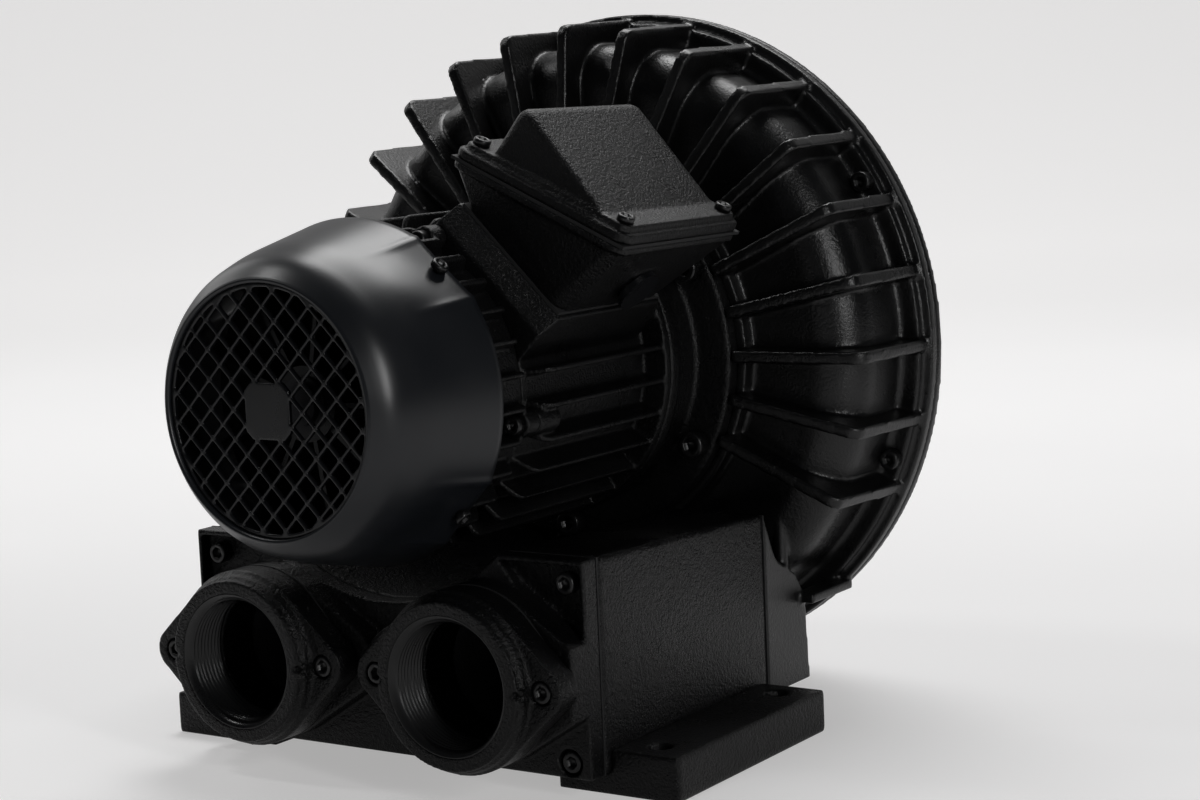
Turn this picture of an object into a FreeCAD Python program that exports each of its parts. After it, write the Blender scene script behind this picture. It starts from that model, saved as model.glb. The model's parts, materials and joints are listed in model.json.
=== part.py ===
"""Radial compressor: a ring channel blower with its finned motor, silencer box and feet.

Millimetres. X runs to the right of the ports, -Y points out of the port mouths, +Z is up.
The origin is the centre of the foot hole pattern, on the floor under the feet.
Stations are positions along Y; radii are measured from the motor axis.
"""
import FreeCAD, Part
import Sketcher
import math
import os

doc = FreeCAD.newDocument("radial_compressor")
sheet = doc.addObject("Spreadsheet::Sheet", "sizes")


class Size:
    """A number that keeps the sheet formula it comes from."""

    def __init__(self, value, text):
        self.value = float(value)
        self.text = text

    def __add__(self, other):
        other = size(other)
        return Size(self.value + other.value, f"({self.text} + {other.text})")

    def __radd__(self, other):
        return size(other) + self

    def __sub__(self, other):
        other = size(other)
        return Size(self.value - other.value, f"({self.text} - {other.text})")

    def __rsub__(self, other):
        return size(other) - self

    def __mul__(self, other):
        other = size(other)
        return Size(self.value * other.value, f"({self.text} * {other.text})")

    def __rmul__(self, other):
        return size(other) * self

    def __truediv__(self, other):
        other = size(other)
        return Size(self.value / other.value, f"({self.text} / {other.text})")

    def __rtruediv__(self, other):
        return size(other) / self

    def __neg__(self):
        return size(0) - self


def size(number):
    """Any plain number as a Size."""
    if isinstance(number, Size):
        return number
    number = float(number)
    if number < 0:
        return Size(number, f"(0 - {-number:.6f})")
    return Size(number, f"{number:.6f}")


def sine(angle):
    angle = size(angle)
    return Size(math.sin(math.radians(angle.value)), f"sin({angle.text})")


def cosine(angle):
    angle = size(angle)
    return Size(math.cos(math.radians(angle.value)), f"cos({angle.text})")


def root(number):
    return Size(math.sqrt(number.value), f"sqrt({number.text})")


DRIVING = [
    # Feet and floor.
    ("axis_height", 179, "motor axis above the floor"),
    ("foot_pitch_x", 258, "foot holes, left to right"),
    ("foot_pitch_y", 105, "foot holes, front to back"),
    ("foot_span", 295, "width over both feet"),
    ("foot_length", 135, "length of each foot"),
    ("foot_top", 20.5, "top of the feet"),
    ("foot_hole", 5.5, "radius of a foot hole"),
    # Silencer box and front plate.
    ("box_width", 224.8, "width of the silencer box"),
    ("box_bottom", 10, "underside of the box"),
    ("box_top", 108, "top of the box at its front"),
    ("box_length", 145.5, "length of the box casting"),
    ("box_wall", 5, "wall of the box"),
    ("dip_radius", 97.4, "radius of the dip under the motor"),
    ("plate_reach", 83, "front plate face before the origin"),
    ("plate_thick", 10.5, "thickness of the front plate"),
    ("sheet_gasket", 1, "thickness of a sheet gasket"),
    ("corner_x", 101.2, "corner screws from the middle"),
    ("corner_low", 17, "lower corner screws above the floor"),
    ("corner_high", 97, "upper corner screws above the floor"),
    ("duct_inner", 20, "inner side of a duct from the middle"),
    ("duct_outer", 88, "outer side of a duct from the middle"),
    ("duct_low", 28, "underside of the ducts above the floor"),
    ("duct_high", 68, "top of the ducts above the floor"),
    ("neck_low", 24, "lower neck screws above the floor"),
    ("neck_high", 88, "upper neck screws above the floor"),
    ("floor_x", 97, "foot fixing screws from the middle"),
    ("floor_y", 45, "foot fixing screws, front and back"),
    ("foot_under", 84, "inner edge of a foot from the middle"),
    # Ports.
    ("port_x", 60.8, "ports from the middle"),
    ("port_z", 55.1, "ports above the floor"),
    ("port_bore", 28.3, "radius of the threaded bore, crests"),
    ("port_mouth", 31.4, "radius of the mouth chamfer"),
    ("port_collar", 37.9, "radius of the collar"),
    ("port_plate", 14, "thickness of the flange plate"),
    ("port_reach", 7.9, "collar in front of the flange plate"),
    ("port_boss", 12, "plate boss behind the flange"),
    ("ear_pitch", 45.1, "ear screws from the port centre"),
    ("ear_radius", 7.2, "radius of an ear"),
    ("ear_middle", 41.5, "radius of the flange between ears"),
    ("boss_ear", 17.6, "radius of a boss ear on the plate"),
    # Ring channel, its ribs and flanges.
    ("neck_length", 39, "length of the casing neck"),
    ("neck_shelf", 57, "shelf of the neck above the floor"),
    ("hub_set", 11, "neck face to hub face"),
    ("channel_set", 8, "hub face to channel front"),
    ("channel_depth", 58.5, "channel front to the split"),
    ("channel_radius", 155, "outside radius of the channel"),
    ("channel_wall", 5, "wall of the channel"),
    ("channel_hub", 100, "inner radius of the channel"),
    ("channel_round", 22, "rounding of the channel corner"),
    ("root_round", 4, "fillet where the channel meets the rim"),
    ("rib_corner", 165, "radius of the rib corner at its front"),
    ("rib_slope", 6, "rib corner behind its start at the hub"),
    ("rim_radius", 170.3, "radius of the flange rim"),
    ("rim_step", 165.5, "radius of the raised flange face"),
    ("rim_half", 6, "thickness of the casing rim"),
    ("rib_count", 28, "rib positions round the ring"),
    ("rib_thick", 6, "thickness of a rib"),
    ("rib_stand", 15, "rib height over the channel front"),
    ("hub_radius", 99, "radius of the hub face"),
    ("flange_bore", 78, "spigot bore for the motor flange"),
    ("cover_depth", 45, "split to the cover outside"),
    ("taper_start", 19.5, "split to the taper of the cover channel"),
    ("taper_radius", 138, "outside radius of the channel at the back"),
    ("cover_rib_stand", 4, "rib height over the cover"),
    # Impeller.
    ("impeller_radius", 149.4, "outside radius of the impeller"),
    ("impeller_width", 36.5, "width of the impeller ring"),
    ("impeller_lag", 0.75, "impeller centre before the split"),
    ("side_gap", 0.9, "gap beside the impeller"),
    ("blade_count", 36, "impeller blades"),
    ("blade_thick", 3, "thickness of a blade"),
    # Motor.
    ("frame_length", 107, "length of the motor frame"),
    ("frame_bore", 61, "bore of the motor frame"),
    ("frame_skin", 5, "wall of the motor frame"),
    ("fin_reach", 78, "radius over the frame fins"),
    ("fin_thick", 2.6, "thickness of a fin"),
    ("fin_count", 30, "fins round the frame"),
    ("tail_length", 35, "length of the non-drive shield"),
    ("lug_circle", 71.5, "screw lugs from the motor axis"),
    ("drive_length", 36, "frame to hub face"),
    ("motor_flange", 95, "radius of the motor flange"),
    ("drive_shaft", 12.5, "shaft radius, drive end"),
    ("tail_shaft", 10, "shaft radius, tail bearing"),
    ("core_length", 80, "length of the stator stack"),
    ("rotor_radius", 35.6, "radius of the rotor stack"),
    ("air_gap", 0.4, "gap between rotor and stator"),
    ("running_fit", 0.05, "radial clearance of running fits"),
    # Cowl, grille and fan.
    ("cowl_overlap", 32.5, "frame front to the cowl rim"),
    ("cowl_length", 66.9, "length of the cowl"),
    ("cowl_rim", 79.6, "radius of the cowl at its rim"),
    ("cowl_nose", 57.8, "radius of the cowl at its front"),
    ("cowl_bend", 70.8, "radius of the cowl at its first bend"),
    ("cowl_bend_set", 42, "cowl rim to the first bend"),
    ("cowl_brow", 65.3, "radius of the cowl at its second bend"),
    ("cowl_brow_set", 58.5, "cowl rim to the second bend"),
    ("cowl_flat", 77.4, "flat for a cowl screw from the axis"),
    ("cowl_screw_set", 6, "cowl screws in front of the cowl rim"),
    ("cowl_screw_turn", 48, "first cowl screw above the right"),
    ("cowl_sheet", 2, "cowl wall"),
    ("grille_pitch", 9.2, "pitch of the grille bars"),
    ("grille_bar", 1.4, "width of a grille bar"),
    ("grille_thick", 2.4, "thickness of the grille"),
    ("grille_hub_half", 12.5, "half side of the grille hub plate"),
    ("fan_radius", 70, "radius of the cooling fan"),
    # Terminal box.
    ("box_turn", 45, "turn of the terminal box base"),
    ("lid_turn", 24.9, "turn of the terminal box lid"),
    ("pad_reach", 81, "pad face from the motor axis"),
    ("lid_reach", 117.8, "lid face from the motor axis"),
    ("lid_side", 99.5, "side of the lid flange"),
    ("lid_centre", 35.8, "lid centre along its own plane"),
    ("base_side", 70, "side of the box base"),
    ("base_length", 84, "length of the box base along the motor"),
    ("gland_height", 98, "cable entry from the motor axis"),
    ("gland_reach", 40, "cable entry from the box middle"),
    ("lid_bolt_inset", 8.2, "lid screws from the lid edge"),
    ("box_station", -8, "station of the box centre"),
]


class Given:
    """The driving dimensions by name."""


d = Given()
sheet.set("A1", "driving dimension")
sheet.set("B1", "mm or degrees")
for row, (alias, value, meaning) in enumerate(DRIVING, start=2):
    sheet.set(f"A{row}", meaning)
    sheet.set(f"B{row}", f"{value:g}")
    sheet.setAlias(f"B{row}", alias)
    setattr(d, alias, Size(value, f"sizes.{alias}"))
doc.recompute()

# Stations along Y, chained from the front plate to the rear cover.
plate_face = -d.plate_reach
plate_back = plate_face + d.plate_thick
box_front = plate_back + d.sheet_gasket
box_rear = box_front + d.box_length
neck_face = box_rear + d.sheet_gasket
hub_face = neck_face + d.hub_set
channel_front = hub_face + d.channel_set
rib_front = channel_front - d.rib_stand - 2
split = channel_front + d.channel_depth
rim_front = split - d.rim_half
flange_front = rim_front - 4.5
cover_back = split + 6.2
cover_outside = split + d.cover_depth
taper_front = split + d.taper_start
impeller_mid = split - d.impeller_lag
impeller_front = impeller_mid - d.impeller_width / 2
impeller_rear = impeller_mid + d.impeller_width / 2
casing_wall_back = impeller_front - d.side_gap
cover_wall_front = impeller_rear + d.side_gap
frame_rear = hub_face - d.drive_length
frame_front = frame_rear - d.frame_length
tail_front = frame_front - d.tail_length
cowl_rear = frame_front - d.cowl_overlap
cowl_front = cowl_rear - d.cowl_length
boss_face = plate_face - d.port_boss
port_back = boss_face - d.sheet_gasket
port_face = port_back - d.port_plate
mouth = port_face - d.port_reach
half_box = d.box_width / 2
core_mid = (frame_front + frame_rear) / 2 + 1.5
core_front = core_mid - d.core_length / 2
core_rear = core_mid + d.core_length / 2
barrel = d.frame_bore + d.frame_skin

X_AXIS = FreeCAD.Vector(1, 0, 0)
Y_AXIS = FreeCAD.Vector(0, 1, 0)
Z_AXIS = FreeCAD.Vector(0, 0, 1)
nodes = []


def keep(thing, name):
    """Marks a document object as one piece of the machine."""
    thing.Label = name
    nodes.append(thing)
    return thing


def bind(thing, **values):
    """Writes each value and the sheet formula behind it."""
    for field, amount in values.items():
        amount = size(amount)
        setattr(thing, field, amount.value)
        thing.setExpression(field, amount.text)


def place(thing, x=0, y=0, z=0, axis=Z_AXIS, angle=0):
    """Sets a placement whose base and angle follow the sheet."""
    x, y, z, angle = size(x), size(y), size(z), size(angle)
    base = FreeCAD.Vector(x.value, y.value, z.value)
    thing.Placement = FreeCAD.Placement(base, FreeCAD.Rotation(axis, angle.value))
    thing.setExpression("Placement.Base.x", x.text)
    thing.setExpression("Placement.Base.y", y.text)
    thing.setExpression("Placement.Base.z", z.text)
    if "sizes." in angle.text and angle.value > 0:
        thing.setExpression("Placement.Rotation.Angle", angle.text)


def origin_part(body, role):
    for feature in body.Origin.OriginFeatures:
        if feature.Role == role:
            return feature
    raise ValueError(role)


def new_body(name, x=0, y=0, z=0, axis=X_AXIS, angle=90):
    """A body facing the front: local x right, local y up, local z towards -Y."""
    body = doc.addObject("PartDesign::Body", name)
    place(body, x, y, z, axis, angle)
    return body


def rounded(points, radii):
    """Corners of a loop, some of them replaced by an arc with the radius given."""
    corners = [(size(x), size(y)) for x, y in points]
    loop = []
    for index, (x, y) in enumerate(corners):
        if index not in radii:
            loop.append((x, y, None, 0))
            continue
        radius = size(radii[index])
        before = corners[index - 1]
        after = corners[(index + 1) % len(corners)]
        ends = []
        for near in (before, after):
            run_x = near[0].value - x.value
            run_y = near[1].value - y.value
            reach = math.hypot(run_x, run_y)
            ends.append((run_x / reach, run_y / reach))
        dot = ends[0][0] * ends[1][0] + ends[0][1] * ends[1][1]
        set_back = 1 / math.tan(math.acos(dot) / 2)
        turn = ends[1][0] * ends[0][1] - ends[1][1] * ends[0][0]
        for place_index, (unit_x, unit_y) in enumerate(ends):
            new_x = x + radius * (unit_x * set_back)
            new_y = y + radius * (unit_y * set_back)
            arc = radius if place_index == 0 else None
            loop.append((new_x, new_y, arc, 1 if turn > 0 else -1))
    return loop


def straight(points):
    return rounded(points, {})


def draw(body, role, loops=(), circles=(), offset=0, name="outline"):
    """A sketch on one origin plane: closed loops and circles, every point bound."""
    sketch = body.newObject("Sketcher::SketchObject", f"{body.Name}_{name}")
    sketch.AttachmentSupport = [(origin_part(body, role), "")]
    sketch.MapMode = "FlatFace"
    offset = size(offset)
    sketch.AttachmentOffset = FreeCAD.Placement(
        FreeCAD.Vector(0, 0, offset.value), FreeCAD.Rotation()
    )
    if offset.value or "sizes." in offset.text:
        sketch.setExpression("AttachmentOffset.Base.z", offset.text)
    bounds = []
    for loop in loops:
        ends = []
        count = len(loop)
        for index in range(count):
            x, y, arc, turn = loop[index]
            next_x, next_y = loop[(index + 1) % count][:2]
            start = FreeCAD.Vector(x.value, y.value, 0)
            stop = FreeCAD.Vector(next_x.value, next_y.value, 0)
            if arc is None:
                line = sketch.addGeometry(Part.LineSegment(start, stop), False)
                ends.append((line, 1, 2))
                continue
            first, last = (start, stop) if turn > 0 else (stop, start)
            half = (last - first) * 0.5
            rise = math.sqrt(max(arc.value**2 - half.Length**2, 0))
            side = FreeCAD.Vector(-half.y, half.x, 0).normalize()
            centre = first + half + side * rise
            from_angle = math.atan2(first.y - centre.y, first.x - centre.x)
            to_angle = math.atan2(last.y - centre.y, last.x - centre.x)
            circle = Part.Circle(centre, Z_AXIS, arc.value)
            curve = sketch.addGeometry(Part.ArcOfCircle(circle, from_angle, to_angle), False)
            ends.append((curve, 1, 2) if turn > 0 else (curve, 2, 1))
            bounds.append((curve, arc))
        for index in range(count):
            this_end = ends[index]
            next_end = ends[(index + 1) % count]
            sketch.addConstraint(
                Sketcher.Constraint("Coincident", this_end[0], this_end[2], next_end[0], next_end[1])
            )
        for index in range(count):
            x, y = loop[index][:2]
            fix_point(sketch, ends[index][0], ends[index][1], x, y)
    for curve, arc in bounds:
        pin = sketch.addConstraint(Sketcher.Constraint("Radius", curve, arc.value))
        sketch.setExpression(f"Constraints[{pin}]", arc.text)
    for x, y, radius in circles:
        x, y, radius = size(x), size(y), size(radius)
        centre = FreeCAD.Vector(x.value, y.value, 0)
        ring = sketch.addGeometry(Part.Circle(centre, Z_AXIS, radius.value), False)
        fix_point(sketch, ring, 3, x, y)
        pin = sketch.addConstraint(Sketcher.Constraint("Radius", ring, radius.value))
        sketch.setExpression(f"Constraints[{pin}]", radius.text)
    return sketch


def fix_point(sketch, geometry, end, x, y):
    for kind, amount in (("DistanceX", x), ("DistanceY", y)):
        pin = sketch.addConstraint(Sketcher.Constraint(kind, -1, 1, geometry, end, amount.value))
        sketch.setExpression(f"Constraints[{pin}]", amount.text)


def revolve(body, sketch):
    turn = body.newObject("PartDesign::Revolution", f"{body.Name}_turn")
    turn.Profile = sketch
    turn.ReferenceAxis = (sketch, ["V_Axis"])
    turn.Angle = 360
    return turn


def turned(name, points, radii=None, x=0, z=None):
    """A body turned about an axis along Y; points are (radius, station)."""
    body = new_body(name, x, 0, d.axis_height if z is None else z)
    flipped = [(radius, -size(station)) for radius, station in points]
    sketch = draw(body, "XZ_Plane", [rounded(flipped, radii or {})])
    revolve(body, sketch)
    return body


def slab(body, front, rear, loops=(), circles=(), name="slab"):
    """Adds an outline drawn in the X-Z plane, from one station to another."""
    front, rear = size(front), size(rear)
    sketch = draw(body, "XY_Plane", loops, circles, -rear, name)
    pad = body.newObject("PartDesign::Pad", f"{body.Name}_{name}_pad")
    pad.Profile = sketch
    bind(pad, Length=rear - front)
    return pad


def drill(body, front, rear, loops=(), circles=(), name="holes"):
    """Cuts an outline drawn in the X-Z plane, from one station back to another."""
    front, rear = size(front), size(rear)
    doc.recompute()
    before = body.Shape.Volume
    sketch = draw(body, "XY_Plane", loops, circles, -front, name)
    pocket = body.newObject("PartDesign::Pocket", f"{body.Name}_{name}_cut")
    pocket.Profile = sketch
    bind(pocket, Length=rear - front)
    doc.recompute()
    if not body.Shape.Volume < before - 1e-6:
        raise ValueError(f"{body.Name}: {name} cuts nothing")
    return pocket


def ring_pattern(body, feature, count, angle=360):
    pattern = body.newObject("PartDesign::PolarPattern", f"{feature.Name}_ring")
    pattern.Originals = [feature]
    pattern.Axis = (origin_part(body, "Z_Axis"), [""])
    bind(pattern, Angle=angle)
    count = size(count)
    pattern.Occurrences = int(round(count.value))
    if "sizes." in count.text:
        pattern.setExpression("Occurrences", count.text)
    body.Tip = pattern
    return pattern


def fin(body, points, thickness, name, turn=0, radii=None):
    """A radial plate drawn as (radius, station) and padded to both sides."""
    flipped = [(radius, -size(station)) for radius, station in points]
    sketch = draw(body, "XZ_Plane", [rounded(flipped, radii or {})], name=name)
    if turn:
        sketch.AttachmentOffset = FreeCAD.Placement(
            FreeCAD.Vector(), FreeCAD.Rotation(Y_AXIS, turn)
        )
    pad = body.newObject("PartDesign::Pad", f"{body.Name}_{name}_pad")
    pad.Profile = sketch
    pad.Midplane = True
    bind(pad, Length=thickness)
    return pad


def block(name, x0, x1, y0, y1, z0, z1):
    """A box between two corners in machine axes."""
    x0, x1, y0, y1, z0, z1 = (size(edge) for edge in (x0, x1, y0, y1, z0, z1))
    box = doc.addObject("Part::Box", name)
    bind(box, Length=x1 - x0, Width=y1 - y0, Height=z1 - z0)
    place(box, x0, y0, z0)
    return box


def rod(name, radius, x, z, y0, y1):
    """A cylinder along Y between two stations."""
    y0, y1 = size(y0), size(y1)
    cylinder = doc.addObject("Part::Cylinder", name)
    bind(cylinder, Radius=radius, Height=y1 - y0)
    place(cylinder, x, y0, z, X_AXIS, -90)
    return cylinder


def post(name, radius, x, y, z0, z1):
    """An upright cylinder between two heights."""
    z0, z1 = size(z0), size(z1)
    cylinder = doc.addObject("Part::Cylinder", name)
    bind(cylinder, Radius=radius, Height=z1 - z0)
    place(cylinder, x, y, z0)
    return cylinder


def overlap(name, shapes):
    """The part that all the given shapes share."""
    shared = doc.addObject("Part::MultiCommon", name)
    shared.Shapes = shapes
    return shared


def fuse(name, shapes):
    joined = doc.addObject("Part::MultiFuse", name)
    joined.Shapes = shapes
    joined.Refine = True
    return joined


def cut(name, base, tools):
    tool = tools[0] if len(tools) == 1 else fuse(f"{name}_tools", tools)
    result = doc.addObject("Part::Cut", name)
    result.Base = base
    result.Tool = tool
    result.Refine = True
    return result


def hexagon(x, z, reach):
    """A hexagon with its corners at the reach given."""
    corners = []
    for step in range(6):
        turn = math.radians(60 * step + 15)
        corners.append((size(x) + size(reach) * math.cos(turn), size(z) + size(reach) * math.sin(turn)))
    return straight(corners)


def screws(name, spots, face, head, head_length, shank, shank_length, x=0, z=0):
    """Socket screws entered from the front, one separate solid per spot."""
    body = new_body(name, x, 0, z)
    face = size(face)
    shanks = [(sx, sz, shank) for sx, sz in spots]
    heads = [(sx, sz, head) for sx, sz in spots]
    slab(body, face, face + shank_length, circles=shanks, name="shank")
    slab(body, face - head_length, face, circles=heads, name="head")
    sockets = [hexagon(sx, sz, head * 0.56) for sx, sz in spots]
    drill(body, face - head_length, face - head_length * 0.45, sockets, name="socket")
    return keep(body, name)


def radial_rod(name, radius, station, angle, low, high):
    """A cylinder square to the motor axis, between two distances from it."""
    low, high = size(low), size(high)
    cylinder = doc.addObject("Part::Cylinder", name)
    bind(cylinder, Radius=radius, Height=high - low)
    start = on_circle(low, angle)
    place(cylinder, start[0], station, d.axis_height + start[1], Y_AXIS, 450 - size(angle))
    return cylinder


def on_circle(radius, angle):
    return (size(radius) * cosine(angle), size(radius) * sine(angle))


# Silencer box: one casting with two chambers and a dip for the motor above it.
box_block = doc.addObject("PartDesign::Body", "box_block")
side = draw(
    box_block,
    "YZ_Plane",
    [
        straight(
            [
                (box_front, d.box_bottom),
                (box_rear, d.box_bottom),
                (box_rear, d.box_top - 5),
                (box_front, d.box_top),
            ]
        )
    ],
)
box_pad = box_block.newObject("PartDesign::Pad", "box_pad")
box_pad.Profile = side
box_pad.Midplane = True
bind(box_pad, Length=d.box_width)

chamber_left = block(
    "chamber_left",
    d.box_wall - half_box,
    -d.box_wall,
    box_front - 1,
    box_rear - d.box_wall,
    d.box_bottom + d.box_wall,
    d.box_top - d.box_wall - 5,
)
chamber_right = block(
    "chamber_right",
    d.box_wall,
    half_box - d.box_wall,
    box_front - 1,
    box_rear - d.box_wall,
    d.box_bottom + d.box_wall,
    d.box_top - d.box_wall - 5,
)
dip_core = rod("dip_core", d.dip_radius + d.box_wall, 0, d.axis_height, box_front - 2, box_rear)
chambers = cut("chambers", fuse("chamber_pair", [chamber_left, chamber_right]), [dip_core])
box_dip = rod("box_dip", d.dip_radius, 0, d.axis_height, box_front - 5, box_rear + 5)


def duct(name, sign, front, rear):
    """The way through the wall between the box and the channel, on one side."""
    left, right = (d.duct_inner, d.duct_outer) if sign > 0 else (-d.duct_outer, -d.duct_inner)
    return block(name, left, right, front, rear, d.duct_low, d.duct_high)


duct_left = duct("duct_left", -1, box_rear - d.box_wall - 1, box_rear + 1)
duct_right = duct("duct_right", 1, box_rear - d.box_wall - 1, box_rear + 1)
box_hollow = cut("box_hollow", box_block, [chambers, box_dip, duct_left, duct_right])

corner_spots = [
    (-d.corner_x, d.corner_low),
    (d.corner_x, d.corner_low),
    (-d.corner_x, d.corner_high),
    (d.corner_x, d.corner_high),
]
floor_spots = [
    (-d.floor_x, -d.floor_y),
    (d.floor_x, -d.floor_y),
    (-d.floor_x, d.floor_y),
    (d.floor_x, d.floor_y),
]
neck_spots = [
    (-d.corner_x, d.neck_low),
    (d.corner_x, d.neck_low),
    (-d.corner_x, d.neck_high),
    (d.corner_x, d.neck_high),
]
bosses = []
for index, (spot_x, spot_z) in enumerate(corner_spots):
    low = index < 2
    side_x = (half_box - d.box_wall + 1) * (-1 if index % 2 == 0 else 1)
    inner_x = (d.corner_x - 8) * (-1 if index % 2 == 0 else 1)
    left, right = (side_x, inner_x) if index % 2 == 0 else (inner_x, side_x)
    bottom = d.box_bottom + d.box_wall - 1 if low else d.corner_high - 8
    top = d.corner_low + 8 if low else d.box_top - d.box_wall - 4
    bosses.append(block(f"corner_boss_{index}", left, right, box_front, box_front + 22, bottom, top))
for index, (spot_x, spot_y) in enumerate(floor_spots):
    side_x = (half_box - d.box_wall + 1) * (-1 if spot_x.value < 0 else 1)
    inner_x = (d.floor_x - 9) * (-1 if spot_x.value < 0 else 1)
    left, right = (side_x, inner_x) if spot_x.value < 0 else (inner_x, side_x)
    bosses.append(
        block(
            f"floor_boss_{index}",
            left,
            right,
            spot_y - 8,
            spot_y + 8,
            d.box_bottom + d.box_wall - 1,
            d.box_bottom + 20,
        )
    )
box_bossed = fuse("box_bossed", [box_hollow] + bosses)
box_bores = []
for index, (spot_x, spot_z) in enumerate(corner_spots):
    box_bores.append(rod(f"corner_bore_{index}", 3, spot_x, spot_z, box_front - 1, box_front + 20))
for index, (spot_x, spot_z) in enumerate(neck_spots):
    box_bores.append(
        rod(f"neck_bore_{index}", 3.2, spot_x, spot_z, box_rear - d.box_wall - 1, box_rear + 1)
    )
for index, (spot_x, spot_y) in enumerate(floor_spots):
    box_bores.append(post(f"floor_bore_{index}", 4, spot_x, spot_y, 9, d.box_bottom + 16))
keep(cut("silencer_box_cut", box_bossed, box_bores), "silencer_housing")

# Front plate: bosses behind both ports, recessed upper corners, counterbored screws.
port_spots = [(-d.port_x, d.port_z), (d.port_x, d.port_z)]


def ear_loop(x, z, ear=d.ear_radius, middle=d.ear_middle):
    """The lozenge outline of a port flange: two ears and a round middle."""
    lean = (middle - ear) / d.ear_pitch
    rise = root(1 - lean * lean)
    ear_x = d.ear_pitch + ear * lean
    ear_z = ear * rise
    mid_x = middle * lean
    mid_z = middle * rise
    return [
        (x + ear_x, z - ear_z, ear, 1),
        (x + ear_x, z + ear_z, None, 0),
        (x + mid_x, z + mid_z, middle, 1),
        (x - mid_x, z + mid_z, None, 0),
        (x - ear_x, z + ear_z, ear, 1),
        (x - ear_x, z - ear_z, None, 0),
        (x - mid_x, z - mid_z, middle, 1),
        (x + mid_x, z - mid_z, None, 0),
    ]


def plate_outline(bottom, top):
    return straight(
        [(-half_box, bottom), (half_box, bottom), (half_box, top), (-half_box, top)]
    )


plate = new_body("plate_blank")
slab(plate, plate_face, plate_back, [plate_outline(d.box_bottom, d.box_top)])
plate_dip = rod("plate_dip", d.dip_radius, 0, d.axis_height, plate_face - 20, plate_back + 1)
boss_right = new_body("port_boss_right")
slab(boss_right, boss_face, plate_face + 2, [ear_loop(d.port_x, d.port_z, d.boss_ear)])
boss_left = new_body("port_boss_left")
slab(boss_left, boss_face, plate_face + 2, [ear_loop(-d.port_x, d.port_z, d.boss_ear)])
boss_trim = block(
    "boss_trim", -half_box, half_box, boss_face - 1, plate_face + 3, d.box_bottom, d.box_top
)
boss_pair = overlap("port_bosses", [fuse("boss_both", [boss_left, boss_right]), boss_trim])
plate_solid = cut("plate_dipped", fuse("plate_solid", [plate, boss_pair]), [plate_dip])
plate_tools = new_body("plate_tools")


def recess(sign):
    """The hollow corner beside a port boss, open towards the dip."""
    corners = [
        (half_box - 2.5, d.box_top - 36),
        (half_box - 2.5, d.box_top - 2.5),
        (half_box - 46, d.box_top - 2.5),
        (half_box - 37, d.box_top - 13),
    ]
    if sign > 0:
        return straight(corners)
    return straight([(-x, z) for x, z in reversed(corners)])


slab(plate_tools, plate_face - 1, plate_face + 7, [recess(1), recess(-1)], name="recess")
seats = [(spot_x, spot_z, 6.2) for spot_x, spot_z in corner_spots[:2]]
slab(plate_tools, plate_face - 1, plate_face + 7, circles=seats, name="seat")
shafts = [(spot_x, spot_z, 3.2) for spot_x, spot_z in corner_spots]
slab(plate_tools, plate_face + 6, plate_back + 1, circles=shafts, name="clear")
port_holes = [(spot_x, spot_z, d.port_bore + 0.2) for spot_x, spot_z in port_spots]
slab(plate_tools, boss_face - 1, plate_back + 1, circles=port_holes, name="port")
ear_spots = [(-d.port_x - d.ear_pitch, d.port_z), (d.ear_pitch - d.port_x, d.port_z)]
ear_spots += [(d.port_x - d.ear_pitch, d.port_z), (d.port_x + d.ear_pitch, d.port_z)]
ear_taps = [(spot_x, spot_z, 3) for spot_x, spot_z in ear_spots]
slab(plate_tools, boss_face - 1, boss_face + 17, circles=ear_taps, name="tap")
keep(cut("front_plate_cut", plate_solid, [plate_tools]), "front_plate")

# Sheet gasket between the front plate and the box, open over both chambers.
plate_seal = new_body("plate_seal_blank")
slab(plate_seal, plate_back, box_front, [plate_outline(d.box_bottom, d.box_top)])
seal_dip = rod("seal_dip", d.dip_radius, 0, d.axis_height, plate_back - 1, box_front + 1)
seal_left = block(
    "seal_left",
    d.box_wall - half_box,
    -d.box_wall,
    plate_back - 1,
    box_front + 1,
    d.box_bottom + d.box_wall,
    d.box_top - d.box_wall - 5,
)
seal_right = block(
    "seal_right",
    d.box_wall,
    half_box - d.box_wall,
    plate_back - 1,
    box_front + 1,
    d.box_bottom + d.box_wall,
    d.box_top - d.box_wall - 5,
)
seal_core = rod("seal_core", d.dip_radius + d.box_wall, 0, d.axis_height, plate_back - 2, box_front + 2)
seal_open = cut("seal_open", fuse("seal_pair", [seal_left, seal_right]), [seal_core])
seal_ring = cut("seal_ring", plate_seal, [seal_open, seal_dip])
seal_pads = []
seal_bores = []
for index, (spot_x, spot_z) in enumerate(corner_spots):
    side_x = (half_box - 2) * (-1 if index % 2 == 0 else 1)
    inner_x = (d.corner_x - 8) * (-1 if index % 2 == 0 else 1)
    left, right = (side_x, inner_x) if index % 2 == 0 else (inner_x, side_x)
    bottom = d.box_bottom + 2 if index < 2 else d.corner_high - 8
    top = d.corner_low + 8 if index < 2 else d.box_top - 2
    seal_pads.append(block(f"seal_pad_{index}", left, right, plate_back, box_front, bottom, top))
    seal_bores.append(rod(f"seal_bore_{index}", 3.2, spot_x, spot_z, plate_back - 1, box_front + 1))
seal_whole = fuse("seal_whole", [seal_ring] + seal_pads)
keep(cut("front_plate_gasket_cut", seal_whole, seal_bores), "front_plate_gasket")

screws("front_plate_screws", corner_spots, plate_face + 7, 5, 6, 3, d.plate_thick + 13)

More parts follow.
